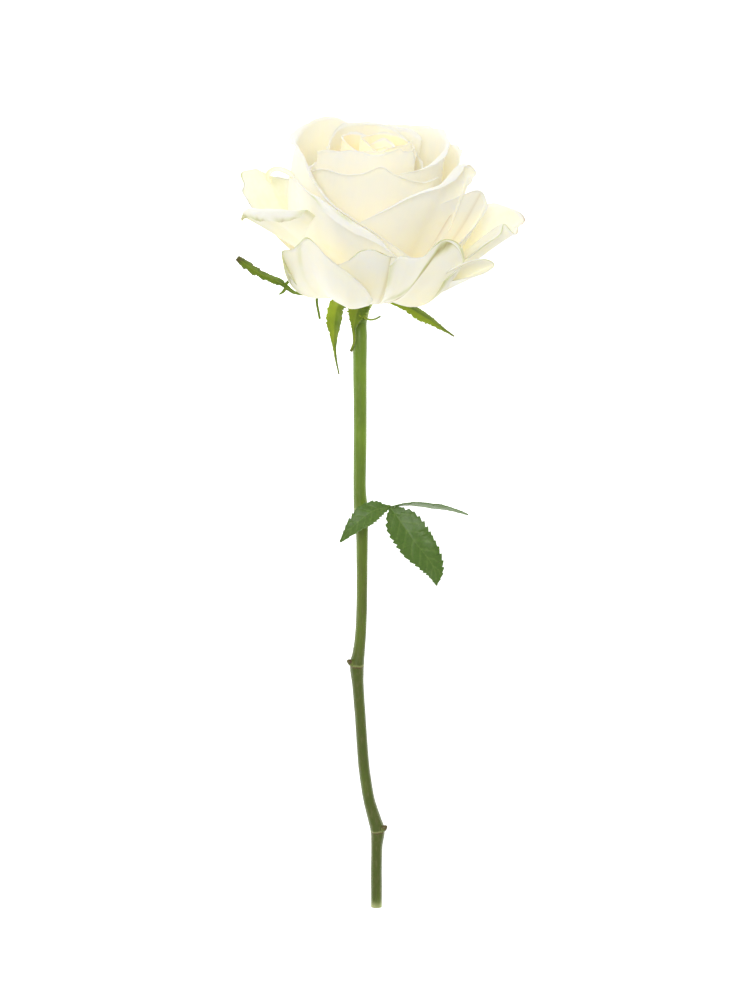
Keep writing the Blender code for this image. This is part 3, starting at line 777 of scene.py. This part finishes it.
def outer_petals() -> list[Petal]:
    """List the petals that stand away from the bloom.

    Returns:
        The turned-down flap at the left, the one at the right side and two behind.
    """
    flap = (
        (-149, 37.5, 45.4, 1, 100), (-144, 38, 45.1, 1.1, 100), (-137, 38.6, 44, 1.2, 100),
        (-130, 39.2, 42.8, 1.3, 110), (-122, 40, 42, 1.8, 140), (-113, 42, 40.5, 2.8, 160),
        (-105, 43, 38.5, 3.1, 165), (-97, 43.5, 36, 3.1, 165), (-90, 44, 34, 2.9, 160),
        (-83, 44.5, 31, 2.2, 150), (-77, 44.5, 27, 1.5, 130), (-70, 44.5, 23.5, 1.2, 110))
    side = (
        (-72, 28, 33, 1, 60), (-60, 29, 36, 1, 60), (-48, 30.5, 39, 1.1, 60), (-38, 33.5, 43, 1.2, 60),
        (-29, 37.8, 46.5, 1.2, 60), (-22, 41.4, 49, 1.3, 60), (-16, 43.5, 48, 1.3, 60),
        (-12, 45.1, 43.8, 1.2, 60), (-14, 45.8, 41.4, 1.2, 60), (-20, 45.3, 38.2, 1.1, 55),
        (-27, 44.1, 33.5, 1, 50), (-35, 43, 28.5, 1, 45), (-41, 41, 23, 0.9, 40))
    return [
        Petal(-100, 35, flap, 4, 78, wave=0.1, shoulder=0.02, frill=0.3,
              spots=(Spot(-0.28, 0.97, 0.14, 0.05, 0.9), Spot(0.12, 0.8, 0.12, 0.06, 0.6))),
        Petal(-54, 19, side, 12, 74, wave=0.1, shoulder=0.02,
              spots=(Spot(-0.3, 0.6, 0.03, 0.3, 0.0, 0.4), Spot(0.0, 0.5, 0.03, 0.25, 0.0, 0.3))),
        simple(68, 42, (42, 44, 2, 80), (44, 49, 2.6, 100), (42, 49, 2.4, 90), 2, 74),
        simple(112, 38, (42, 52, 2.4, 90), (43, 51, 3, 110), (40, 48, 2.4, 90), 2, 74),
    ]


def guard_petals() -> list[Petal]:
    """List the lowest petals, which are ruffled, greenish and a little bruised.

    Returns:
        The front ones from the left, those behind and the two at the left side.
    """
    lower_left = (
        (-132, 42, 9.5, 1, 60), (-136, 43, 13.5, 1, 60), (-138, 43.5, 17.5, 1.2, 60),
        (-132, 43, 19.5, 1.2, 60), (-127, 43, 23, 1.2, 60), (-122, 43, 26, 1.3, 65),
        (-116, 43.5, 24.5, 1.1, 55), (-110, 44, 21.5, 0.9, 50), (-104, 44, 19, 0.8, 45),
        (-97, 44, 16.5, 0.8, 40), (-91, 43.5, 13.5, 0.8, 40), (-86, 42, 10, 0.8, 30), (-82, 40, 6, 0.6, 20))
    lower = (
        (-112, 39, 14, 1, 60), (-105, 40, 17.5, 1.1, 60), (-98, 41.5, 21, 1.2, 60),
        (-92, 43, 25.5, 1.2, 60), (-87, 44, 27, 1.2, 60), (-82, 44, 26, 1.2, 60), (-76, 43.5, 25, 1.1, 60),
        (-70, 42.5, 24, 1, 60))
    lower_right = (
        (-77, 46, 22, 1, 60), (-73, 47, 26, 1, 60), (-68, 48, 26, 1.2, 65), (-62, 48, 27, 1.2, 70),
        (-57, 48, 31, 1.5, 75), (-52, 48, 33.5, 1.8, 90), (-46, 48.5, 32.5, 1.7, 90),
        (-41, 49.5, 28.5, 1.3, 80), (-38, 49.5, 23.5, 1, 55), (-40, 47, 19.5, 0.9, 45),
        (-43, 44, 15, 0.8, 35))
    tongue = (
        (-44, 40, 14, 1, 60), (-43, 43.5, 18, 1, 60), (-41, 48.5, 22.5, 1.2, 60),
        (-37, 52.5, 25.5, 1.5, 60), (-32, 55, 26, 1.6, 60), (-28, 56.5, 23.5, 1.4, 60),
        (-31, 54.5, 20, 1.1, 45), (-34, 49, 17, 1, 35), (-38, 42, 14, 1, 30))
    spoon = (
        (-38, 51.5, 26.5, 1, 50), (-28, 52.2, 30.8, 1, 60), (-22, 54.3, 34, 1, 60),
        (-19, 54.5, 38, 1.2, 60), (-17.3, 57, 35.5, 1, 60), (-16, 59, 34, 0.9, 60),
        (-14.5, 60, 37, 0.9, 60), (-13, 61.3, 39.5, 1, 60), (-10, 57, 42, 1.6, 80),
        (-6, 52.5, 42.4, 1.8, 90), (-1, 49.5, 42, 1.6, 80), (5, 48, 41, 1.4, 70), (12, 47, 39, 1.2, 60))
    upper_left = (
        (160, 36, 37.3, 1, 40), (163, 39.5, 37.3, 1, 40), (166, 43.5, 37.7, 1.1, 40),
        (167, 47.5, 39, 1.1, 40), (169, 50, 40.3, 1.2, 40), (172, 52.7, 39.3, 1.2, 40),
        (175, 53.5, 37.5, 1.2, 40), (178, 52.3, 35, 1.2, 40), (181, 52.6, 33, 1.2, 40),
        (184, 50.1, 30.3, 1.1, 40), (187, 47.9, 28, 1, 30))
    left = (
        (-156, 53, 27, 1.5, 120), (-153, 54.5, 30.5, 1.8, 135), (-150, 53.5, 32.5, 2.2, 150),
        (-146, 52, 33, 2.4, 160), (-142, 50.5, 34, 2.6, 165), (-137, 48.5, 35, 2.7, 165),
        (-132, 46, 35.5, 2.6, 165), (-126, 42, 36.5, 2.2, 150))
    green = {"rim_green": 0.8, "body_green": 0.15, "rim_brown": 0.4, "shoulder": 0.02, "frill": 0.7,
             "nick": 0.04, "depth": 0.35}
    return [
        Petal(-112, 28, lower_left, -21, 82, wave=0.1, **green,
              spots=(Spot(-0.4, 0.65, 0.16, 0.4, push=-1.6), Spot(-0.88, 0.7, 0.22, 0.35, 1.2, 0.3),
                     Spot(-0.38, 0.7, 0.05, 0.3, 0.5), Spot(-0.12, 0.95, 0.08, 0.12, 0.9),
                     Spot(0.3, 0.72, 0.03, 0.02, 0.3, 0.8))),
        Petal(-90, 22, lower, -18, 74, wave=0.1, **green,
              spots=(Spot(0.72, 0.6, 0.04, 0.32, 0.2, 0.6), Spot(-0.05, 0.97, 0.2, 0.07, 1.0))),
        Petal(-57, 14, lower_right, -8, 72, wave=0.1, **green,
              spots=(Spot(-0.5, 0.75, 0.25, 0.25, push=1.2), Spot(-0.1, 0.5, 0.1, 0.3, 0.9, 0.15, 3.2),
                     Spot(-0.4, 0.35, 0.04, 0.3, 0.3, 0.9, 2.4), Spot(-0.75, 0.93, 0.04, 0.06, 1.0),
                     Spot(0.85, 0.7, 0.12, 0.2, 0.3), Spot(0.4, 0.9, 0.1, 0.05, 0.6))),
        Petal(-36, 12, tongue, -10, 32, wave=0.1, **green),
        Petal(-14, 22, spoon, 2, 42, wave=0.1, **green, spots=(Spot(0.12, 0.98, 0.16, 0.1, 0.3, 2.0),)),
        simple(42, 28, (48, 32, 2, 80), (52, 34, 2.4, 90), (52, 28, 2, 60), -12, 56, **green),
        simple(88, 30, (53, 27, 2, 50), (55.5, 26, 2.4, 60), (53, 27, 2, 50), -16, 56, **green),
        simple(134, 28, (52, 28, 2, 60), (51, 32, 2.4, 90), (48, 32, 2, 80), -12, 56, **green),
        Petal(174, 14, upper_left, 22, 44, wave=0.3, waves=3, **green,
              spots=(Spot(0.5, 0.95, 0.4, 0.1, 0.8), Spot(-0.6, 0.6, 0.3, 0.3, 0.25))),
        Petal(-142, 18, left, 36, 26, wave=0.1, **green, spots=(Spot(-0.9, 0.95, 0.15, 0.1, 0.7, 0.3),)),
    ]


@dataclass(frozen=True)
class Whorl:
    """Petals that make one piece, with the radius and height of their claws and the faces along a blade."""

    name: str
    petals: list[Petal]
    claw: tuple[float, float]
    faces: int


@dataclass
class Bloom:
    """The open flower: five whorls of petals and the core that they stand out of."""

    finish: PetalFinish
    heart_count: int = 4
    heart_turn: float = 137.5
    thickness: float = 0.25
    core: tuple[Triple, ...] = ((5.0, -0.5, 0.0), (9.5, 0.5, 0.0), (14.5, 6.0, 0.0), (17.0, 14.0, 0.0),
                                (17.5, 24.0, 0.0), (15.0, 38.0, 0.0), (7.5, 49.0, 0.0), (0.6, 51.0, 0.0))

    def heart_petals(self) -> list[Petal]:
        """List the tight spiral in the middle: each petal a golden angle on from the last, and outside it.

        Returns:
            The petals, from the innermost.
        """
        petals = []
        for i in range(self.heart_count):
            radius, height = 3.4 + 2.6 * i, 58.6 + 0.9 * i
            petals.append(simple(
                -75.0 + self.heart_turn * i, 88.0 - 8.0 * i, (radius - 1.2, height - 3.0, 1.2, 50),
                (radius, height, 1.3, 65), (radius + 1.4, height - 3.0, 1.2, 40), 80, 94, (0.8, 0.3, 0.2),
                wave=0.25, root=0.5, frill=0.4, sag=0.8, depth=0.35))
        return petals

    def strap(self) -> bpy.types.Object:
        """Model the curled corner of the left petal, which arches over a gap.

        Returns:
            The strap.
        """
        course = (
            (212, 37.8, 45.5), (206, 37.7, 46.1), (199, 38.7, 46.0), (192, 40.0, 45.2), (186, 41.4, 43.2),
            (181, 42.3, 40.2), (178, 41.2, 37.0))
        route = tuple(BLOOM @ round_axis(*station) for station in course)
        strip = Strap(route, (0.9, 1.0, 1.0, 1.0, 1.2, 1.5, 0.3), (-0.3, 0.2, 1.0))
        return strip.blade("strap", (10, 40), self.thickness)

    def build(self) -> list[bpy.types.Object]:
        """Model and dress the whole bloom.

        Returns:
            Its pieces: the core and the five whorls.
        """
        skin = self.finish.material()
        # The core's first tint of 1 gives it the full throat cream, partly painted shade, and the full
        # painted glow.
        made = [finished([turned("core", self.core, (1.0, 0.3, 0.0))], "bloom_core", Part.BLOOM, skin)]
        for whorl in (Whorl("heart_petals", self.heart_petals(), (1.5, 20.0), 40),
                      Whorl("inner_petals", inner_petals(), (9.0, 5.0), 56),
                      Whorl("middle_petals", middle_petals(), (8.0, 2.8), 72),
                      Whorl("outer_petals", outer_petals(), (7.0, 1.5), 72),
                      Whorl("guard_petals", guard_petals(), (6.5, 0.4), 60)):
            blades = [self.strap()] if whorl.name == "outer_petals" else []
            grid = (whorl.faces, whorl.faces)
            for number, petal in enumerate(whorl.petals):
                grown = replace(petal, claw=whorl.claw, seed=10 * len(whorl.petals) + number)
                blades.append(grown.blade(f"{whorl.name}_{number}", grid, self.thickness))
            made.append(finished(blades, whorl.name, Part.BLOOM, skin))
        return made


# ---- green blades ----
@dataclass(frozen=True)
class Ribbon:
    """A green blade along a route.

    The widths are half widths at even steps from its base, and face is the way that its upper face looks.
    """

    route: tuple[Vector | Triple, ...]
    widths: tuple[float, ...]
    face: Triple
    trough: float = 0.3  # how far its sides rise, as a share of the half width
    teeth: int = 0
    tooth: float = 0.0  # millimetres
    veins: int = 0
    relief: float = 0.0  # millimetres that the veins are sunk
    tip_brown: float = 0.0
    yellow: float = 0.0
    fray: float = 0.0  # how uneven its edges are
    seed: int = 0

    def half_width(self, v: float) -> float:
        """Return half the blade's width at v, without its teeth."""
        return max(0.2, along([Vector((w, 0.0, 0.0)) for w in self.widths], v).x)

    def vein(self, u: float, v: float) -> float:
        """Find how near a place is to the midrib or a side vein.

        Args:
            u: across, -1 to 1.
            v: along, 0 to 1.

        Returns:
            1 on a vein, falling to 0 beside it.
        """
        half = self.half_width(v)
        midrib = hump(u * half, 0.0, 0.28)
        if not self.veins:
            return midrib
        step = (v - 0.16 * abs(u)) * self.veins
        near = (step - math.floor(step + 0.5)) / self.veins * 9.0
        return max(midrib, 0.75 * hump(near, 0.0, 0.13) * smooth((1.0 - abs(u)) * 3.0))

    def point(self, u: float, v: float) -> Vector:
        """Find a point of the blade.

        Args:
            u: across, -1 to 1.
            v: along, 0 to 1.

        Returns:
            The point, in millimetres from the cut end of the stem.
        """
        points = [Vector(p) for p in self.route]
        middle = along(points, v)
        ahead = along(points, min(1.0, v + 0.02)) - along(points, max(0.0, v - 0.02))
        side = ahead.cross(Vector(self.face)).normalized()
        face = side.cross(ahead).normalized()
        half = self.half_width(v)
        if self.teeth:
            step = v * self.teeth + 0.5 * noise.noise(Vector((v * 5.0, 3.1 * self.seed, u)))
            uneven = 1.0 + 1.3 * noise.noise(Vector((1.7 * math.floor(step), 3.1 * self.seed, 0.5)))
            half -= self.tooth * uneven * (step - math.floor(step)) * min(1.0, half / 3.0)
        half *= 1.0 + self.fray * noise.noise(Vector((math.copysign(5.0, u), 45.0 * v, 3.1 * self.seed)))
        lift = self.trough * half * u * u - self.relief * self.vein(u, v)
        lift += 0.35 * half / 5.0 * noise.noise(Vector((u * 1.5, v * 7.0, 3.1 * self.seed)))
        return middle + side * (u * half) + face * lift

    def tone(self, u: float, v: float) -> Triple:
        """Find the blade's tints.

        Args:
            u: across, -1 to 1.
            v: along, 0 to 1.

        Returns:
            How pale, how yellow (painted stronger on its lit side) and how brown it is there.
        """
        edge = smooth((abs(u) - 0.8) / 0.2)
        brown = self.tip_brown * max(smooth((v - 0.9) / 0.1), 0.7 * edge * smooth((v - 0.5) / 0.3))
        # Painted light: the yellow is painted stronger on the side of the blade where u is above about 0,
        # its lit side.
        lit = 0.35 + 0.65 * smooth((u + 0.2) / 0.4)
        return 0.4 * self.vein(u, v), self.yellow * (1.0 - 0.6 * v) * lit, brown

    def blade(self, name: str, grid: tuple[int, int], thickness: float, second: int = 0) -> bpy.types.Object:
        """Model the blade.

        Args:
            name: the object's name.
            grid: faces across and along.
            thickness: in millimetres.
            second: how many material slots further on the lower face's material is.

        Returns:
            The thin closed blade.
        """
        length = sum((Vector(b) - Vector(a)).length for a, b in zip(self.route, self.route[1:]))
        made = sheet_of(name, grid, self.point, self.tone, (2.0 * max(self.widths), length))
        thicken(made, thickness, second)
        return made


def from_bloom(right: float, up: float, front: float) -> Vector:
    """Turn (right, along the axis, towards the upper side) of the bloom into its own millimetres."""
    return Vector((right, -front, up))


@dataclass(frozen=True)
class Strap(Ribbon):
    """A narrow strip that a petal's corner has curled into."""

    def tone(self, u: float, v: float) -> Triple:
        """Return the strip's tints: a little yellow, partly painted shade, with a green edge."""
        return 0.25 + 0.3 * v, 0.4 * smooth((abs(u) - 0.5) / 0.5), 0.0


@dataclass
class Calyx:
    """The receptacle under the petals, with its reflexed sepals and their loose side lobes."""

    finish: GreenFinish
    thickness: float = 0.45
    receptacle: tuple[Triple, ...] = ((5.4, -0.8, 0.0), (6.2, -2.0, 0.0), (6.2, -3.6, 0.1), (5.0, -6.0, 0.4),
                                      (3.6, -8.6, 0.8), (3.1, -11.5, 1.1))

    def sepals(self) -> list[Ribbon]:
        """List the sepals: two at the front, one to each side, and the loose lobes.

        Returns:
            The blades.
        """
        rows = (
            (((0, -3.2, 3), (-0.2, -5.6, 8), (-0.7, -10, 8.4), (-0.8, -14.5, 8), (0.2, -20, 7.8),
              (-0.6, -24.5, 7.6)),
             (3.4, 4.3, 2.6, 0.9, 0.5, 0.5), (0, 0, 1), {"tip_brown": 0.9, "yellow": 0.5, "fray": 0.35}),
            (((-3, -4, 2.4), (-8, -6, 6.4), (-8.8, -13, 6.6), (-7.6, -23, 6.4), (-6.2, -29, 6.4),
              (-4.2, -35, 6.4)),
             (2.6, 3.0, 3.2, 0.9, 0.4, 0.2), (-0.4, 0, 1), {"tip_brown": 0.5, "yellow": 0.9, "fray": 0.35}),
            (((3, -3.8, 0), (10, -3.6, -1), (17.9, -4.6, -0.5), (24.4, -7.2, 0), (29.1, -9.3, 0),
              (34.3, -11.9, 0), (39.5, -14.5, 0)),
             (1.6, 1.2, 1.8, 2.4, 1.8, 0.8, 0.2), (0.1, -0.4, 1),
             {"tip_brown": 0.5, "yellow": 1.1, "fray": 0.35}),
            (((-3, -4, 0), (-12, -5.2, -2.5), (-25.5, -6.8, -4), (-32, -3.6, -4), (-40, -1.2, -4),
              (-45, 0.9, -4), (-51, 4.3, -4)),
             (2.0, 1.2, 0.7, 1.7, 2.1, 2.2, 1.2), (0, -0.3, 1),
             {"teeth": 8, "tooth": 0.8, "tip_brown": 0.8, "fray": 0.2}),
            (((-2.2, -3.6, -2.2), (-8, -5, -6), (-13, -6, -6.5), (-17.2, -7.8, -4.5), (-15.0, -16, -3.5)),
             (2.4, 2.4, 1.2, 0.5, 0.4), (-0.3, -1, -1), {}),
            (((0.6, -9, 8.4), (4.5, -10.2, 8.6), (7.0, -9.8, 8.4), (9.2, -8.4, 7.8)),
             (0.8, 0.6, 0.5, 0.4), (0, 1, 0), {"yellow": 0.6}),
            (((-31, -4.4, -4), (-29.5, -2.6, -4), (-29, -0.6, -4)), (0.6, 0.5, 0.2), (0, -0.3, 1), {}),
            (((-30, -5, -4), (-31, -7, -4), (-32.4, -8.4, -4)), (0.6, 0.5, 0.2), (0, -0.3, 1), {}),
        )
        return [Ribbon(tuple(BLOOM @ from_bloom(*point) for point in route), widths,
                       tuple(BLOOM.to_3x3() @ from_bloom(*face)), seed=seed, **more)
                for seed, (route, widths, face, more) in enumerate(rows)]

    def build(self) -> list[bpy.types.Object]:
        """Model and dress the calyx.

        Returns:
            The finished piece.
        """
        pieces = [turned("receptacle", self.receptacle, (0.3, 0.4, 0.0))]
        for number, sepal in enumerate(self.sepals()):
            pieces.append(sepal.blade(f"sepal_{number}", (14, 70), self.thickness))
        return [finished(pieces, "calyx_green", Part.CALYX, self.finish.material())]


@dataclass
class Stem:
    """The stem from its cut end to the receptacle, which kinks at each of its three swollen joints."""

    finish: GreenFinish
    course: tuple[Triple, ...] = (  # x, y and radius
        (0.0, 0.0, 2.25), (0.0, 14.5, 2.25), (0.1, 25.0, 2.3), (0.5, 31.5, 2.9), (-0.6, 36.0, 2.7),
        (-2.9, 44.0, 2.35), (-4.3, 52.3, 2.3), (-5.3, 60.4, 2.25), (-6.4, 76.7, 2.2), (-7.0, 84.8, 2.25),
        (-7.6, 93.0, 2.4), (-7.9, 100.0, 2.9), (-7.2, 105.3, 2.5), (-6.4, 112.9, 2.25),
        (-5.9, 125.1, 2.2), (-5.8, 142.2, 2.25), (-5.8, 152.4, 2.4), (-6.2, 163.5, 2.9),
        (-6.7, 171.0, 2.55), (-6.6, 187.0, 2.6), (-6.5, 203.8, 2.65), (-6.6, 220.0, 2.75),
        (-6.6, 232.0, 2.9))
    joints: tuple[int, ...] = (3, 11, 17)
    slope: float = 0.150
    sides: int = 40
    rings: int = 420
    neck: Triple = (1.1, 0.0, -11.8)  # in the bloom's own millimetres, just below the receptacle
    neck_length: float = 3.0
    neck_radius: float = 3.0
    bud_radius: float = 1.5
    bud_length: float = 4.2

    def middle(self, x: float, y: float) -> Vector:
        """Return a point of the stem's middle line, which climbs from the table at an even slope."""
        return Vector((x, y, 2.25 * math.cos(math.atan(self.slope)) + self.slope * y))

    def points(self) -> tuple[list[Vector], list[Vector]]:
        """List the middle line's points and its radii, from the cut end to the receptacle.

        Returns:
            The points, and the radii as vectors.
        """
        places = [self.middle(x, y) for x, y, _ in self.course]
        radii = [Vector((radius, 0.0, 0.0)) for _, _, radius in self.course]
        neck = BLOOM @ Vector(self.neck)
        places += [neck - self.neck_length * BLOOM.col[2].xyz, neck]
        radii += [Vector((self.neck_radius, 0.0, 0.0))] * 2
        return places, radii

    def build(self) -> list[bpy.types.Object]:
        """Model and dress the stem.

        Returns:
            The finished piece.
        """
        places, radii = self.points()
        scars = [i / (len(places) - 1) for i in self.joints]

        def radius(u: float, v: float) -> float:
            """Return the radius, with five faint ribs and a slightly uneven skin."""
            ribs = 0.05 * math.cos(5.0 * math.pi * u + 2.0 * v)
            return along(radii, v).x + ribs + 0.06 * noise.noise(Vector((u * 3.0, v * 60.0, 1.0)))

        def tone(u: float, v: float) -> Triple:
            """Find the tints: pale scars with a dry edge, a pale cut end, and older skin lower down.

            Args:
                u: round, -1 to 1.
                v: along, 0 to 1.

            Returns:
                How pale, how yellow and how brown it is there.
            """
            ragged = 0.003 + 0.0025 * math.cos(math.pi * u)
            ragged += 0.002 * noise.noise(Vector((u * 4.0, 7.0, v * 9.0)))
            scar = max(hump(v, s + ragged, 0.003) for s in scars)
            dry = max(hump(v, s + ragged - 0.003, 0.002) for s in scars)
            old = 0.3 * (1.0 - smooth((v - 0.6) / 0.2))
            pale = max(0.8 * scar, 0.9 * hump(v, 0.0, 0.006))
            yellow = 0.5 * max(scar, smooth((v - 0.4) / 0.4))
            return pale, yellow, old * (1.0 - hump(v, 0.0, 0.008)) + 0.7 * dry

        body = tube("stem_tube", (self.sides, self.rings), places, radius, tone, (15.0, 260.0), 0.004)
        lower, upper, _ = [self.middle(*self.course[i][:2]) for i in self.joints]
        buds = [self.bud("lower_bud", lower + Vector((0.8, 0.2, 0.8)), (0.75, 0.55, 0.45)),
                self.bud("upper_bud", upper + Vector((-0.8, 0.2, 0.8)), (-0.8, 0.5, 0.4))]
        return [finished([body, *buds], "stem_green", Part.STEM, self.finish.material())]

    def bud(self, name: str, place: Vector, direction: Triple) -> bpy.types.Object:
        """Model a small pointed bud, from a sphere that is drawn out, with its base sunk in the stem.

        Args:
            name: the object's name.
            place: the middle of its base.
            direction: where it points.

        Returns:
            The bud.
        """
        bpy.ops.mesh.primitive_uv_sphere_add(segments=20, ring_count=14, radius=1.0)
        made = bpy.context.view_layer.objects.active
        made.name = name
        for vertex in made.data.vertices:
            high = (vertex.co.z + 1.0) / 2.0
            swell = self.bud_radius * (1.0 - 0.35 * high * high)
            vertex.co = Vector((vertex.co.x * swell, vertex.co.y * swell, self.bud_length * high))
        turn = Vector(direction).to_track_quat("Z", "Y").to_matrix().to_4x4()
        tint_mesh(made.data, [(0.2, 0.3, smooth((dot.co.z - 1.2) / 2.0)) for dot in made.data.vertices])
        made.data.transform(Matrix.Scale(MM, 4) @ Matrix.Translation(place + SHIFT) @ turn)
        return made


@dataclass
class CompoundLeaf:
    """The leaf at the stem's third joint: a short petiole and three toothed leaflets."""

    stem: Stem
    upper: GreenFinish
    under: GreenFinish
    thickness: float = 0.4
    joint: Triple = (5.4, 164.6, 34.5)

    def leaflets(self) -> list[Ribbon]:
        """List the left, end and right leaflets.

        Returns:
            The blades.
        """
        return [
            Ribbon(((5.2, 164.4, 34.5), (-1.0, 163.0, 36.6), (-8.0, 158.0, 37.6), (-14.6, 150.4, 35.6)),
                   (0.5, 3.9, 4.9, 3.1, 0.3), (0.05, 0.45, 1), 0.15, 13, 0.6, 8, 0.12, seed=7),
            Ribbon(((5.4, 164.4, 34.5), (8.2, 160.6, 35.4), (12.2, 155.0, 36.3), (16.0, 149.6, 36.6),
                    (20.4, 144.2, 35.8), (23.4, 139.0, 33.6), (24.2, 132.8, 30.5)),
                   (0.6, 5.8, 7.9, 7.5, 6.2, 4.2, 0.3), (0.15, 0.1, 1), 0.18, 17, 0.9, 9, 0.12, seed=8),
            Ribbon(((5.6, 164.6, 34.3), (14.0, 165.4, 33.6), (23.0, 164.4, 32.6), (31.0, 163.0, 31.0),
                    (37.0, 161.4, 29.4)),
                   (0.5, 4.8, 5.6, 3.6, 0.3), (0, 1, -0.12), 0.1, 13, 0.6, 8, 0.12, seed=9),
        ]

    def petiole(self) -> bpy.types.Object:
        """Model the petiole as a thin tube from the stem's third joint.

        Returns:
            The tube.
        """
        start = self.stem.middle(*self.stem.course[self.stem.joints[2]][:2]) + Vector((2.9, 0.0, 1.2))
        course = [start, start + Vector((2.3, 1.0, 1.8)), start + Vector((5.7, 1.3, 4.4)),
                  Vector(self.joint)]
        return tube("petiole", (16, 24), course, lambda u, v: 1.0 - 0.3 * v, lambda u, v: (0.4, 0.4, 0.0),
                    (6.0, 14.0), 0.02)

    def build(self) -> list[bpy.types.Object]:
        """Model and dress the leaf.

        Returns:
            The finished piece.
        """
        pieces = [self.petiole()]
        for number, leaflet in enumerate(self.leaflets()):
            pieces.append(leaflet.blade(f"leaflet_{number}", (36, 110), self.thickness, 1))
        return [finished(pieces, "leaf_green", Part.LEAF, self.upper.material(), self.under.material())]


# ---- studio ----
@dataclass(frozen=True)
class Lamp:
    """A square soft lamp that looks at the rose. Its place and side are in metres."""

    name: str
    place: Triple
    side: float
    power: float


@dataclass
class Studio:
    """A camera that looks straight down on the rose, a white floor and large soft lights."""

    lens: float = 120.0
    eye: Triple = (-2.8, 6.47, 1373.3)
    floor_side: float = 6.0  # metres
    floor_glow: float = 0.8  # lifts the paper to an even white
    sky_strength: float = 0.55
    target: Triple = (0.0, 0.05, 0.0)  # metres
    lamps: tuple[Lamp, ...] = (
        Lamp("over", (-0.25, 0.25, 1.5), 0.5, 6.5), Lamp("key", (-0.7, 0.9, 1.1), 0.7, 1.0))

    def camera(self) -> None:
        """Place the camera over the rose and make it the scene's own."""
        data = bpy.data.cameras.new("camera")
        data.lens = self.lens
        data.clip_start = 0.01
        made = bpy.data.objects.new("camera", data)
        made.location = Vector(self.eye) * MM
        bpy.context.scene.collection.objects.link(made)
        bpy.context.scene.camera = made

    def floor(self) -> None:
        """Lay the plain white floor under the rose."""
        bpy.ops.mesh.primitive_plane_add(size=self.floor_side)
        made = bpy.context.view_layer.objects.active
        made.name = "floor"
        paper = bpy.data.materials.new("white paper floor")
        paper.use_nodes = True
        fill(paper.node_tree, paper.node_tree.nodes["Principled BSDF"], {
            "Base Color": linear("#fbfbfb"), "Roughness": 0.9, "Emission Color": linear("#ffffff"),
            "Emission Strength": self.floor_glow})
        made.data.materials.append(paper)

    def lights(self) -> None:
        """Hang the lamps and set the even light of the white room."""
        world = bpy.data.worlds.new("white room")
        world.use_nodes = True
        fill(world.node_tree, world.node_tree.nodes["Background"], {
            "Color": linear("#ffffff"), "Strength": self.sky_strength})
        bpy.context.scene.world = world
        for lamp in self.lamps:
            data = bpy.data.lights.new(lamp.name, "AREA")
            data.size = lamp.side
            data.energy = lamp.power
            made = bpy.data.objects.new(lamp.name, data)
            made.location = lamp.place
            look = Vector(self.target) - Vector(lamp.place)
            made.rotation_euler = look.to_track_quat("-Z", "Y").to_euler()
            bpy.context.scene.collection.objects.link(made)
        bpy.context.scene.view_settings.view_transform = "Standard"

    def build(self) -> None:
        """Set the whole studio up."""
        self.camera()
        self.floor()
        self.lights()


def main() -> None:
    """Build the rose part by part and report each piece, then set up the studio round it."""
    logging.basicConfig(level=logging.INFO, format="%(name)s: %(message)s")
    stem = Stem(GreenFinish("rose stem skin", "#587022", "#c9cc92", "#8bac2c", grain=0.9,
                            stretch=(1.0, 0.25, 1.0)))
    leaf = CompoundLeaf(stem, GreenFinish("leaf upper skin", "#577829", "#84a04c", "#5f8028"),
                        GreenFinish("leaf underside skin", "#8fa07a", "#b4bf93", "#98a968", coat=0.0))
    calyx = Calyx(GreenFinish("sepal skin", "#5f7a02", "#9db04a", "#b2c528"))
    for sub_assembly in (Bloom(PetalFinish()), calyx, stem, leaf):
        for piece in sub_assembly.build():
            triangles = sum(len(face.vertices) - 2 for face in piece.data.polygons)
            LOG.info("%s: %d triangles", piece.name, triangles)
    Studio().build()


if __name__ == "__main__":
    main()
